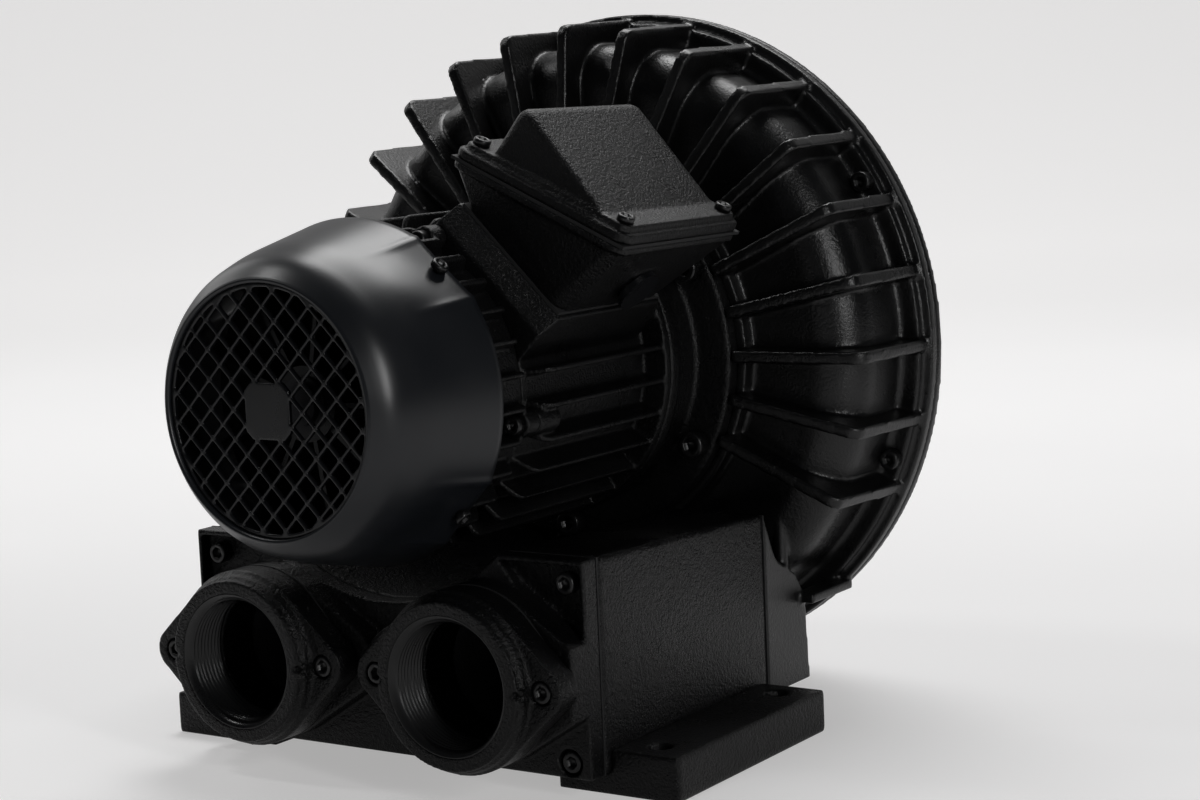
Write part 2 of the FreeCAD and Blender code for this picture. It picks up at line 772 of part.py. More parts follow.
# Port flanges with their gaskets and screws; the wide flange seals on the plate boss.
for side_name, sign in (("inlet", 1), ("outlet", -1)):
    centre = d.port_x * sign
    flange = turned(
        f"{side_name}_collar",
        [
            (d.port_bore, port_back),
            (d.port_bore, mouth + 3.1),
            (d.port_mouth, mouth),
            (d.port_collar, mouth),
            (d.port_collar, port_back),
        ],
        x=centre,
        z=d.port_z,
    )
    ears = new_body(f"{side_name}_ears")
    slab(ears, port_face, port_back, [ear_loop(centre, d.port_z)])
    tools = [rod(f"{side_name}_throat", d.port_bore, centre, d.port_z, port_face - 1, port_back + 1)]
    for index, shift in enumerate((-d.ear_pitch, d.ear_pitch)):
        tools.append(
            rod(
                f"{side_name}_ear_{index}",
                3.2,
                centre + shift,
                d.port_z,
                port_face - 1,
                port_back + 1,
            )
        )
        tools.append(
            rod(
                f"{side_name}_ear_seat_{index}",
                5.4,
                centre + shift,
                d.port_z,
                port_face - 1,
                port_face + 6.5,
            )
        )
    drilled = cut(f"{side_name}_drilled", ears, tools)
    keep(fuse(f"{side_name}_flange_fuse", [drilled, flange]), f"{side_name}_port_flange")
    gasket = new_body(f"{side_name}_gasket_blank")
    slab(
        gasket,
        port_back,
        boss_face,
        [ear_loop(centre, d.port_z)],
        [
            (centre, d.port_z, d.port_bore + 1),
            (centre - d.ear_pitch, d.port_z, 3.2),
            (centre + d.ear_pitch, d.port_z, 3.2),
        ],
    )
    keep(gasket, f"{side_name}_port_gasket")
screws("port_screws", ear_spots, port_face + 6.5, 5, 6, 3, d.port_plate + d.sheet_gasket + 9)

# Foam sleeves that quieten both chambers, standing against the front plate.
for side_name, sign in (("inlet", 1), ("outlet", -1)):
    sleeve = turned(
        f"{side_name}_sleeve",
        [(29, plate_back), (35, plate_back), (35, plate_back + 120), (29, plate_back + 120)],
        x=d.port_x * sign,
        z=d.port_z,
    )
    keep(sleeve, f"{side_name}_silencer_sleeve")

# Feet: two rails that reach under the box and carry the slots for the floor bolts.
half_span = d.foot_span / 2
for side_name, sign in (("right", 1), ("left", -1)):
    rail = new_body(f"rail_{side_name}")
    corners = [
        (d.foot_under * sign, 0),
        (half_span * sign, 0),
        (half_span * sign, d.foot_top),
        (half_box * sign, d.foot_top),
        (half_box * sign, d.box_bottom),
        (d.foot_under * sign, d.box_bottom),
    ]
    if sign < 0:
        corners.reverse()
    slab(rail, -d.foot_length / 2, d.foot_length / 2, [straight(corners)])
    tools = []
    for index, shift in enumerate((-1, 1)):
        tools.append(
            post(
                f"foot_bore_{side_name}_{index}",
                d.foot_hole,
                d.foot_pitch_x / 2 * sign,
                d.foot_pitch_y / 2 * shift,
                -1,
                d.foot_top + 1,
            )
        )
        seat_x = d.floor_x * sign
        seat_y = d.floor_y * shift
        tools.append(post(f"foot_seat_{side_name}_{index}", 7, seat_x, seat_y, -1, 5))
        tools.append(post(f"foot_clear_{side_name}_{index}", 4, seat_x, seat_y, 4, d.box_bottom + 1))
    keep(cut(f"foot_{side_name}_cut", rail, tools), f"foot_{side_name}")

foot_screw = doc.addObject("PartDesign::Body", "foot_screw_body")
place(foot_screw)
head_circles = [(x, y, 6.5) for x, y in floor_spots]
low_heads = draw(foot_screw, "XY_Plane", circles=head_circles, offset=0.5, name="heads")
head_pad = foot_screw.newObject("PartDesign::Pad", "foot_head_pad")
head_pad.Profile = low_heads
bind(head_pad, Length=4.5)
shank_circles = [(x, y, 4) for x, y in floor_spots]
low_shanks = draw(foot_screw, "XY_Plane", circles=shank_circles, offset=5, name="shanks")
shank_pad = foot_screw.newObject("PartDesign::Pad", "foot_shank_pad")
shank_pad.Profile = low_shanks
bind(shank_pad, Length=d.box_bottom + 9)
keep(foot_screw, "foot_screws")

# Ring channel casing: hub, channel and rim turned in one, then ribs, neck and ducts.
ring_in = d.channel_radius - d.channel_wall
front_in = channel_front + d.channel_wall
casing = turned(
    "casing_ring",
    [
        (d.flange_bore, hub_face),
        (d.hub_radius, hub_face),
        (d.hub_radius, channel_front),
        (d.channel_radius, channel_front),
        (d.channel_radius, flange_front),
        (d.rim_step, flange_front),
        (d.rim_step, rim_front),
        (d.rim_radius, rim_front),
        (d.rim_radius, split),
        (ring_in, split),
        (ring_in, front_in),
        (d.channel_hub, front_in),
        (d.channel_hub, casing_wall_back),
        (21, casing_wall_back),
        (21, casing_wall_back - 8),
        (d.flange_bore, casing_wall_back - 8),
    ],
    {3: d.channel_round, 4: d.root_round, 10: d.channel_round - d.channel_wall},
)
rib_step = 360 / d.rib_count
skin = d.channel_wall / 2
casing_rib = fin(
    casing,
    [
        (d.hub_radius - 3, channel_front + skin),
        (d.hub_radius - 3, rib_front),
        (d.rib_corner, rib_front + d.rib_slope),
        (d.rim_radius - 2.3, rim_front + 2),
        (ring_in + skin, rim_front + 2),
        (ring_in + skin, channel_front + skin),
    ],
    d.rib_thick,
    "rib",
    turn=-2 * rib_step.value,
    radii={2: 7, 5: d.channel_round - skin},
)
ring_pattern(casing, casing_rib, 19, rib_step * 18)
neck_rear = neck_face + d.neck_length
neck_bend = neck_face + d.hub_set
neck_body = doc.addObject("PartDesign::Body", "neck_body")
neck_side = draw(
    neck_body,
    "YZ_Plane",
    [
        rounded(
            [
                (neck_face, 12),
                (neck_rear + 3, 12),
                (neck_rear, d.neck_shelf - 2),
                (neck_rear - 9, d.neck_shelf + 11),
                (neck_bend, d.neck_shelf + 21),
                (neck_face, d.box_top - 6),
            ],
            {4: 15},
        )
    ],
)
neck_pad = neck_body.newObject("PartDesign::Pad", "neck_pad")
neck_pad.Profile = neck_side
neck_pad.Midplane = True
bind(neck_pad, Length=d.box_width)
neck_ring = turned(
    "neck_ring",
    [
        (0, channel_front + 2.5),
        (d.channel_radius - 2.5, channel_front + 2.5),
        (d.channel_radius - 2.5, neck_rear + 5),
        (0, neck_rear + 5),
    ],
    {1: d.channel_round - 2.5},
)
neck_hub = rod("neck_hub", d.hub_radius - 0.5, 0, d.axis_height, neck_face - 5, channel_front + 3)
neck = cut("neck", neck_body, [neck_ring, neck_hub])
stripper_block = block("stripper_block", -15, 15, channel_front + 2.5, casing_wall_back, 24, 84)
stripper_core = turned(
    "stripper_core",
    [
        (0, channel_front + 1),
        (d.channel_radius - 2.5, channel_front + 1),
        (d.channel_radius - 2.5, split),
        (0, split),
    ],
    {1: d.channel_round - 1},
)
stripper = overlap("stripper", [stripper_block, stripper_core])
shelf_parts = []
for side_name, sign in (("left", -1), ("right", 1)):
    near, far = (half_box - 4) * sign, (half_box + 8) * sign
    left, right = (near, far) if sign > 0 else (far, near)
    shelf_parts.append(
        block(
            f"shelf_{side_name}", left, right, neck_rear - 6, split - 2, d.neck_shelf - 5, d.neck_shelf
        )
    )
    shelf_parts.append(
        post(
            f"channel_post_{side_name}",
            3.5,
            (half_box - 3.6) * sign,
            channel_front + 3.5,
            d.neck_shelf + 8,
            d.neck_shelf + 53,
        )
    )
casing_solid = fuse("casing_solid", [casing, neck, stripper] + shelf_parts)
tools = []
for side_name, sign in (("left", -1), ("right", 1)):
    tools.append(duct(f"casing_duct_{side_name}", sign, neck_face - 1, front_in + 1))
for index, (spot_x, spot_z) in enumerate(neck_spots):
    tools.append(rod(f"neck_tap_{index}", 3, spot_x, spot_z, neck_face - 1, neck_face + 16))
rim_screw_radius = (d.channel_radius + d.rim_step) / 2
rim_spots = [on_circle(rim_screw_radius, -20.9 + 360 / 7 * step) for step in range(7)]
hub_screw_radius = (d.flange_bore + d.hub_radius) / 2 - 1.5
hub_spots = [on_circle(hub_screw_radius, 60 * step - 30) for step in range(6)]
for index, (spot_x, spot_z) in enumerate(rim_spots):
    tools.append(
        rod(f"rim_bore_{index}", 3, spot_x, spot_z + d.axis_height, flange_front - 1, split + 1)
    )
    tools.append(
        rod(
            f"rim_seat_{index}",
            5.2,
            spot_x,
            spot_z + d.axis_height,
            flange_front - d.root_round - 1,
            flange_front,
        )
    )
for index, (spot_x, spot_z) in enumerate(hub_spots):
    tools.append(
        rod(f"hub_tap_{index}", 4, spot_x, spot_z + d.axis_height, hub_face - 1, hub_face + 20)
    )
keep(cut("side_channel_casing_cut", casing_solid, tools), "side_channel_casing")

# Gasket between the box and the neck, and the four screws put in from inside the box.
neck_seal = new_body("neck_seal_blank")
slab(neck_seal, box_rear, neck_face, [plate_outline(12, d.box_top - 6)])
neck_seal_tools = [
    rod("neck_seal_dip", d.hub_radius - 0.5, 0, d.axis_height, box_rear - 1, neck_face + 1),
    duct("neck_seal_left", -1, box_rear - 1, neck_face + 1),
    duct("neck_seal_right", 1, box_rear - 1, neck_face + 1),
]
for index, (spot_x, spot_z) in enumerate(neck_spots):
    neck_seal_tools.append(
        rod(f"neck_seal_bore_{index}", 3.2, spot_x, spot_z, box_rear - 1, neck_face + 1)
    )
keep(cut("neck_gasket_cut", neck_seal, neck_seal_tools), "neck_gasket")
screws("neck_screws", neck_spots, box_rear - d.box_wall, 5, 6, 3, d.box_wall + d.sheet_gasket + 14)

# Rear cover: the other half of the channel, ribbed all round, with a groove for the seal.
cover_in = cover_outside - d.channel_wall
cover = turned(
    "cover_ring",
    [
        (0, cover_wall_front + 14),
        (30, cover_wall_front + 14),
        (30, cover_wall_front),
        (d.channel_hub, cover_wall_front),
        (d.channel_hub, cover_in),
        (d.taper_radius - d.channel_wall, cover_in),
        (ring_in, taper_front),
        (ring_in, split),
        (ring_in + 2, split),
        (ring_in + 2, split + 2.5),
        (ring_in + 4.5, split + 2.5),
        (ring_in + 4.5, split),
        (d.rim_radius, split),
        (d.rim_radius, cover_back),
        (d.channel_radius, cover_back),
        (d.channel_radius, taper_front),
        (d.taper_radius, cover_outside),
        (d.channel_hub - d.channel_wall, cover_outside),
        (d.channel_hub - d.channel_wall, cover_wall_front + 8),
        (36, cover_wall_front + 8),
        (36, cover_wall_front + 20),
        (0, cover_wall_front + 20),
    ],
    {16: 7},
)
cover_rib = fin(
    cover,
    [
        (d.channel_hub - 8, cover_wall_front + 4),
        (d.channel_hub - 8, cover_outside + d.cover_rib_stand),
        (d.taper_radius - 3, cover_outside + d.cover_rib_stand),
        (d.taper_radius + 4.5, cover_outside - 2),
        (d.channel_radius + 6.5, taper_front - 4),
        (d.channel_radius + 8.5, cover_back - 2),
        (ring_in + skin, cover_back - 2),
        (ring_in + skin, taper_front),
        (d.taper_radius - 7, cover_outside - skin),
        (d.channel_hub - skin, cover_outside - skin),
        (d.channel_hub - skin, cover_wall_front + 4),
    ],
    d.rib_thick - 1,
    "rib",
)
ring_pattern(cover, cover_rib, d.rib_count)
cover_block = block("cover_block", -15, 15, cover_wall_front, cover_in + 2, 24, 84)
cover_core = turned(
    "cover_core",
    [
        (0, split + 1),
        (d.channel_radius - 2.5, split + 1),
        (d.channel_radius - 2.5, taper_front),
        (d.taper_radius - 2.5, cover_outside),
        (0, cover_outside),
    ],
)
cover_stripper = overlap("cover_stripper", [cover_block, cover_core])
cover_solid = fuse("cover_solid", [cover, cover_stripper])
cover_bores = []
for index, (spot_x, spot_z) in enumerate(rim_spots):
    cover_bores.append(
        rod(f"cover_bore_{index}", 3, spot_x, spot_z + d.axis_height, split - 1, split + 8)
    )
keep(cut("rear_cover_cut", cover_solid, cover_bores), "rear_cover")
seal_rope = turned(
    "cover_seal_ring",
    [
        (ring_in + 2, split),
        (ring_in + 4.5, split),
        (ring_in + 4.5, split + 2.5),
        (ring_in + 2, split + 2.5),
    ],
)
keep(seal_rope, "cover_seal")
screws("cover_screws", rim_spots, flange_front, 5, 6, 3, d.rim_half + 4.5 + 6.2, 0, d.axis_height)

# Drive end shield: the flange that carries the motor, with the seat of the big bearing.
drive_front = hub_face - 20
drive_bearing_rear = hub_face - 5
drive_shield = turned(
    "drive_shield_ring",
    [
        (d.frame_bore, frame_rear - 6),
        (d.frame_bore, frame_rear),
        (d.fin_reach + 1, frame_rear),
        (d.fin_reach + 1, frame_rear + 8),
        (d.fin_reach - 2, frame_rear + 11),
        (d.fin_reach - 2, hub_face - 9),
        (d.motor_flange, hub_face - 9),
        (d.motor_flange, hub_face),
        (d.flange_bore, hub_face),
        (d.flange_bore, hub_face + 4),
        (d.flange_bore - 8, hub_face + 4),
        (d.flange_bore - 8, hub_face - 2),
        (18, hub_face - 2),
        (18, drive_bearing_rear),
        (26, drive_bearing_rear),
        (26, drive_front - 2),
        (33, drive_front - 2),
        (33, hub_face - 9),
        (d.frame_bore + 8, hub_face - 9),
        (d.frame_bore + 8, frame_rear + 3),
        (d.frame_bore - 4, frame_rear + 3),
        (d.frame_bore - 4, frame_rear - 6),
    ],
)
flange_holes = [(spot_x, spot_z, 4.2) for spot_x, spot_z in hub_spots]
drill(drive_shield, hub_face - 10, hub_face + 1, circles=flange_holes)
keep(drive_shield, "drive_end_shield")
screws("flange_screws", hub_spots, hub_face - 9, 6.5, 8, 4, 27, 0, d.axis_height)

# Shaft seal in the hub bore of the casing.
shaft_seal = turned(
    "seal_body",
    [
        (d.drive_shaft + d.running_fit, casing_wall_back - 8),
        (21, casing_wall_back - 8),
        (21, casing_wall_back),
        (d.drive_shaft + d.running_fit, casing_wall_back),
    ],
)
keep(shaft_seal, "shaft_seal")

# Motor frame: finned barrel with the pad for the terminal box and four screw lugs.
frame = turned(
    "frame_barrel",
    [
        (d.frame_bore, frame_front),
        (barrel, frame_front),
        (barrel, frame_rear - 5),
        (d.fin_reach + 1, frame_rear - 5),
        (d.fin_reach + 1, frame_rear),
        (d.frame_bore, frame_rear),
    ],
)
fin_middle = d.frame_bore + d.frame_skin / 2
half_base = d.base_side / 2
half_length = d.base_length / 2
frame_fin = fin(
    frame,
    [
        (fin_middle, frame_front + 2),
        (barrel + 1, frame_front + 2),
        (d.fin_reach, frame_front + 6),
        (d.fin_reach, frame_rear - 3),
        (fin_middle, frame_rear - 3),
    ],
    d.fin_thick,
    "fin",
    turn=6,
    radii={2: 5},
)
ring_pattern(frame, frame_fin, d.fin_count)
pad_body = doc.addObject("PartDesign::Body", "pad_body")
place(pad_body, 0, 0, d.axis_height, Y_AXIS, d.box_turn)
pad_sketch = draw(
    pad_body,
    "YZ_Plane",
    [
        straight(
            [
                (frame_front, fin_middle - 8),
                (d.box_station + half_length + 7, fin_middle - 8),
                (d.box_station + half_length + 7, fin_middle + 6),
                (d.box_station + half_length, d.pad_reach),
                (d.box_station - half_length, d.pad_reach),
                (frame_front, d.pad_reach - 10),
            ]
        )
    ],
)
pad_pad = pad_body.newObject("PartDesign::Pad", "pad_pad")
pad_pad.Profile = pad_sketch
pad_pad.Midplane = True
bind(pad_pad, Length=d.base_side + 4)
frame_core = rod("frame_core", d.frame_bore, 0, d.axis_height, frame_front - 1, frame_rear + 1)
lead_bore = doc.addObject("Part::Cylinder", "lead_bore")
bind(lead_bore, Radius=12, Height=d.pad_reach - 40)
lead_x = 40 * sine(d.box_turn)
lead_z = d.axis_height + 40 * cosine(d.box_turn)
place(lead_bore, lead_x, d.box_station, lead_z, Y_AXIS, d.box_turn)
lug_angles = [72, 168, 252, 348]
frame_lugs = []
shield_lugs = []
lug_spots = [on_circle(d.lug_circle, angle) for angle in lug_angles]
for index, (spot_x, spot_z) in enumerate(lug_spots):
    frame_lugs.append(
        rod(f"frame_lug_{index}", 6, spot_x, spot_z + d.axis_height, frame_front, frame_front + 16)
    )
frame_solid = fuse("frame_solid", [frame, pad_body] + frame_lugs)
frame_tools = [frame_core, lead_bore]
for index, (spot_x, spot_z) in enumerate(lug_spots):
    frame_tools.append(
        rod(f"lug_tap_{index}", 2.5, spot_x, spot_z + d.axis_height, frame_front - 1, frame_front + 13)
    )
bolt_x = half_base - 10
bolt_y = half_length - 10
base_bolts = [(-bolt_x, -bolt_y), (bolt_x, -bolt_y), (-bolt_x, bolt_y), (bolt_x, bolt_y)]
for index, (base_x, base_y) in enumerate(base_bolts):
    tap = doc.addObject("Part::Cylinder", f"base_tap_{index}")
    bind(tap, Radius=2.5, Height=9)
    reach = d.pad_reach - 8
    tap_x = reach * sine(d.box_turn) + base_x * cosine(d.box_turn)
    tap_z = d.axis_height + reach * cosine(d.box_turn) - base_x * sine(d.box_turn)
    place(tap, tap_x, d.box_station + base_y, tap_z, Y_AXIS, d.box_turn)
    frame_tools.append(tap)
keep(cut("motor_frame_cut", frame_solid, frame_tools), "motor_frame")

# Non-drive end shield with its own fins, the tail bearing seat and the lugs.
tail_fit = 23.5
tail = turned(
    "tail_ring",
    [
        (d.frame_bore, frame_front + 6),
        (d.frame_bore, frame_front),
        (barrel, frame_front),
        (barrel, tail_front),
        (d.tail_shaft + 1.2, tail_front),
        (d.tail_shaft + 1.2, tail_front + 8),
        (18, tail_front + 8),
        (18, tail_front + 10),
        (tail_fit, tail_front + 10),
        (tail_fit, tail_front + 26),
        (tail_fit + 6, tail_front + 26),
        (tail_fit + 6, tail_front + 8),
        (d.frame_bore - 4, tail_front + 8),
        (d.frame_bore - 4, frame_front + 6),
    ],
)
tail_fin = fin(
    tail,
    [
        (fin_middle, tail_front),
        (d.fin_reach - 3, tail_front),
        (d.fin_reach - 3, frame_front - 8),
        (barrel + 1, frame_front - 4),
        (fin_middle, frame_front - 4),
    ],
    d.fin_thick,
    "fin",
    turn=6,
    radii={2: 5},
)
ring_pattern(tail, tail_fin, d.fin_count)
for index, (spot_x, spot_z) in enumerate(lug_spots):
    shield_lugs.append(
        rod(f"shield_lug_{index}", 6, spot_x, spot_z + d.axis_height, frame_front - 10, frame_front)
    )
cowl_screw_angles = [d.cowl_screw_turn + 90 * step for step in range(4)]
cowl_screw_y = cowl_rear - d.cowl_screw_set
seat_top = d.cowl_flat - d.cowl_sheet - 0.25
cowl_seats = []
cowl_taps = []
for index, angle in enumerate(cowl_screw_angles):
    seat = doc.addObject("Part::Box", f"cowl_seat_{index}")
    bind(seat, Length=seat_top - 64, Width=12, Height=10.5)
    turned_seat = FreeCAD.Rotation(Y_AXIS, -angle.value) * FreeCAD.Rotation(X_AXIS, 90)
    corner = turned_seat.multVec(FreeCAD.Vector(64, -6, 0))
    seat.Placement = FreeCAD.Placement(FreeCAD.Vector(corner.x, 0, corner.z), turned_seat)
    seat.setExpression("Placement.Base.y", (cowl_screw_y + 7.5).text)
    seat.setExpression("Placement.Base.z", (d.axis_height + corner.z).text)
    cowl_seats.append(seat)
    cowl_taps.append(radial_rod(f"cowl_tap_{index}", 2, cowl_screw_y, angle, 67.5, d.cowl_flat))
tail_solid = fuse("tail_solid", [tail] + shield_lugs + cowl_seats)
tail_tools = list(cowl_taps)
for index, (spot_x, spot_z) in enumerate(lug_spots):
    tail_tools.append(
        rod(
            f"shield_clear_{index}",
            2.6,
            spot_x,
            spot_z + d.axis_height,
            frame_front - 11,
            frame_front + 1,
        )
    )
tail_tools.append(rod("tail_bore", d.frame_bore - 4, 0, d.axis_height, tail_front + 30, frame_front + 7))
keep(cut("non_drive_end_shield_cut", tail_solid, tail_tools), "non_drive_end_shield")
screws("shield_screws", lug_spots, frame_front - 10, 4.2, 5, 2.5, 22, 0, d.axis_height)

# Stator, windings, rotor and shaft.
stator = turned(
    "stator_stack",
    [
        (d.rotor_radius + d.air_gap, core_front),
        (d.frame_bore, core_front),
        (d.frame_bore, core_rear),
        (d.rotor_radius + d.air_gap, core_rear),
    ],
)
keep(stator, "stator_core")
winding = new_body("winding_rings", 0, 0, d.axis_height)
winding_sketch = draw(
    winding,
    "XZ_Plane",
    [
        straight([(40, -core_front), (55, -core_front), (55, 14 - core_front), (40, 14 - core_front)]),
        straight([(40, -core_rear), (40, -core_rear - 13), (55, -core_rear - 13), (55, -core_rear)]),
    ],
)
revolve(winding, winding_sketch)
keep(winding, "stator_windings")
rotor = turned(
    "rotor_stack",
    [(17, core_front), (d.rotor_radius, core_front), (d.rotor_radius, core_rear), (17, core_rear)],
)
keep(rotor, "rotor_core")
ends = new_body("rotor_rings", 0, 0, d.axis_height)
ends_sketch = draw(
    ends,
    "XZ_Plane",
    [
        straight([(22, -core_front), (33, -core_front), (33, 9 - core_front), (22, 9 - core_front)]),
        straight([(22, -core_rear), (22, -core_rear - 9), (33, -core_rear - 9), (33, -core_rear)]),
    ],
)
revolve(ends, ends_sketch)
keep(ends, "rotor_end_rings")

tail_bearing_front = tail_front + 10
tail_bearing_rear = tail_bearing_front + 14
drive_bearing_front = drive_bearing_rear - 15
shaft_end = impeller_rear - 3
seat_start = casing_wall_back + 2
shaft_blank = turned(
    "shaft_blank",
    [
        (0, tail_front - 42),
        (9.5, tail_front - 42),
        (9.5, tail_front + 2),
        (d.tail_shaft, tail_front + 2),
        (d.tail_shaft, tail_bearing_rear),
        (17, tail_bearing_rear),
        (17, drive_bearing_front),
        (d.drive_shaft, drive_bearing_front),
        (d.drive_shaft, seat_start),
        (d.drive_shaft - 0.5, seat_start),
        (d.drive_shaft - 0.5, shaft_end),
        (5, shaft_end),
        (5, shaft_end - 26),
        (0, shaft_end - 26),
    ],
)
key_low = d.axis_height + d.drive_shaft - 4.5
key_high = d.axis_height + d.drive_shaft + 3
shaft_slot = block(
    "shaft_slot", -4, 4, impeller_mid - 12, impeller_mid + 12, key_low, d.axis_height + d.drive_shaft + 1
)
keep(cut("motor_shaft_cut", shaft_blank, [shaft_slot]), "motor_shaft")
key = block("impeller_key_block", -4, 4, impeller_mid - 12, impeller_mid + 12, key_low, key_high)
keep(key, "impeller_key")

# Impeller: hub, disc and a ring of straight blades open to both channel halves.
wheel = turned(
    "wheel",
    [
        (d.drive_shaft - 0.5, impeller_mid - 15),
        (28, impeller_mid - 15),
        (28, impeller_mid - 4),
        (d.impeller_radius - 17, impeller_mid - 4),
        (d.impeller_radius - 9, impeller_mid - 1),
        (d.impeller_radius - 9, impeller_mid + 1),
        (d.impeller_radius - 17, impeller_mid + 4),
        (28, impeller_mid + 4),
        (28, impeller_mid + 15.25),
        (d.drive_shaft - 0.5, impeller_mid + 15.25),
    ],
)
blade = fin(
    wheel,
    [
        (d.channel_hub + 8, impeller_front),
        (d.impeller_radius, impeller_front),
        (d.impeller_radius, impeller_rear),
        (d.channel_hub + 8, impeller_rear),
    ],
    d.blade_thick,
    "blade",
)
ring_pattern(wheel, blade, d.blade_count)
wheel_slot = block(
    "wheel_slot", -4, 4, impeller_mid - 16, impeller_mid + 16.5, d.axis_height + d.drive_shaft - 2, key_high
)
keep(cut("impeller_cut", wheel, [wheel_slot]), "impeller")
washer = turned(
    "washer_ring",
    [
        (5.2, impeller_mid + 15.25),
        (18, impeller_mid + 15.25),
        (18, impeller_mid + 18.25),
        (5.2, impeller_mid + 18.25),
    ],
)
keep(washer, "impeller_washer")
end_screw = new_body("end_screw", 0, 0, d.axis_height)
slab(end_screw, shaft_end - 24, impeller_mid + 18.25, circles=[(0, 0, 5)], name="shank")
hex_corners = [(9.2 * math.cos(math.pi / 3 * k), 9.2 * math.sin(math.pi / 3 * k)) for k in range(6)]
slab(
    end_screw,
    impeller_mid + 18.25,
    impeller_mid + 24.6,
    [straight(hex_corners)],
    name="head",
)
keep(end_screw, "impeller_screw")


# Sealed ball bearings: outer ring with its seals, and inner ring.
def bearing(name, inner, middle, outer, front, rear):
    outer_ring = turned(
        f"{name}_outer_ring",
        [(middle + d.running_fit, front), (outer, front), (outer, rear), (middle + d.running_fit, rear)],
    )
    keep(outer_ring, f"{name}_outer_race")
    inner_ring = turned(
        f"{name}_inner_ring",
        [(inner, front), (middle, front), (middle, rear), (inner, rear)],
    )
    keep(inner_ring, f"{name}_inner_race")


bearing("drive_bearing", d.drive_shaft, 17.2, 26, drive_bearing_front, drive_bearing_rear)
bearing("tail_bearing", d.tail_shaft, 14.6, tail_fit, tail_bearing_front, tail_bearing_rear)

# Cooling fan on the tail of the shaft, held by a ring.
fan_back = tail_front - 11
fan_front = fan_back - 26
fan = turned(
    "fan_hub",
    [
        (9.5, fan_front),
        (17, fan_front),
        (17, fan_back - 3),
        (d.fan_radius, fan_back - 3),
        (d.fan_radius, fan_back),
        (9.5, fan_back),
    ],
)
fan_blade = fin(
    fan,
    [
        (15, fan_front + 2),
        (d.fan_radius - 22, fan_front + 2),
        (d.fan_radius, fan_front + 14),
        (d.fan_radius, fan_back - 1),
        (15, fan_back - 1),
    ],
    2.2,
    "blade",
)
ring_pattern(fan, fan_blade, 9)
keep(fan, "cooling_fan")
clip = turned(
    "clip_ring",
    [
        (9.5, fan_front - 1.5),
        (12.5, fan_front - 1.5),
        (12.5, fan_front),
        (9.5, fan_front),
    ],
)
keep(clip, "fan_retaining_ring")

# Cowl: a thin dome over the fan; its rim overlaps the seats of the end shield.
thin = d.cowl_sheet
lip = d.cowl_nose - thin
bend_front = cowl_rear - d.cowl_bend_set
brow_front = cowl_rear - d.cowl_brow_set


def four_flats(name, reach, front, rear):
    """A square prism along the motor axis with its sides at the screws."""
    body = new_body(name, 0, 0, d.axis_height)
    diagonal = math.sqrt(2)
    corners = []
    for angle in cowl_screw_angles:
        turn = angle + 45
        corners.append((reach * diagonal * cosine(turn), reach * diagonal * sine(turn)))
    slab(body, front, rear, [straight(corners)])
    return body


cowl_outer = turned(
    "cowl_outer",
    [
        (0, cowl_rear),
        (d.cowl_rim, cowl_rear),
        (d.cowl_bend, bend_front),
        (d.cowl_brow, brow_front),
        (d.cowl_nose, cowl_front),
        (0, cowl_front),
    ],
    {2: 80, 3: 20, 4: 1.5},
)
cowl_inner = turned(
    "cowl_inner",
    [
        (0, cowl_rear + 1),
        (d.cowl_rim - thin + 0.2, cowl_rear + 1),
        (d.cowl_bend - thin, bend_front + 0.5),
        (d.cowl_brow - thin, brow_front + 1.5),
        (lip, cowl_front + 4.5),
        (lip, cowl_front - 1),
        (0, cowl_front - 1),
    ],
    {2: 80, 3: 18},
)
cowl_skin = overlap("cowl_skin", [cowl_outer, four_flats("flats", d.cowl_flat, cowl_front, cowl_rear)])
cowl_air = overlap(
    "cowl_air",
    [cowl_inner, four_flats("inner_flats", d.cowl_flat - thin, cowl_front - 1, cowl_rear + 1)],
)
cowl_tools = [cowl_air]
cowl_screw_parts = []
for index, angle in enumerate(cowl_screw_angles):
    cowl_tools.append(
        radial_rod(f"cowl_hole_{index}", 2.2, cowl_screw_y, angle, seat_top - 2, d.cowl_flat + 1)
    )
    cowl_screw_parts.append(
        radial_rod(f"cowl_shank_{index}", 2, cowl_screw_y, angle, 68, d.cowl_flat)
    )
    cowl_screw_parts.append(
        radial_rod(f"cowl_head_{index}", 4, cowl_screw_y, angle, d.cowl_flat, d.cowl_flat + 2.8)
    )
keep(cut("fan_cowl_cut", cowl_skin, cowl_tools), "fan_cowl")
keep(fuse("cowl_screw_group", cowl_screw_parts), "cowl_screws")

# Grille: thin diagonal bars between an outer ring and a square hub plate, cut from one plate.
grille_front = cowl_front + 2.2


def flat_face(corners):
    """A face in the plane of the grille from its corner points."""
    loop = [FreeCAD.Vector(x, z, 0) for x, z in corners]
    return Part.Face(Part.makePolygon(loop + loop[:1]))


def disc_face(radius):
    return Part.Face(Part.Wire(Part.makeCircle(radius)))


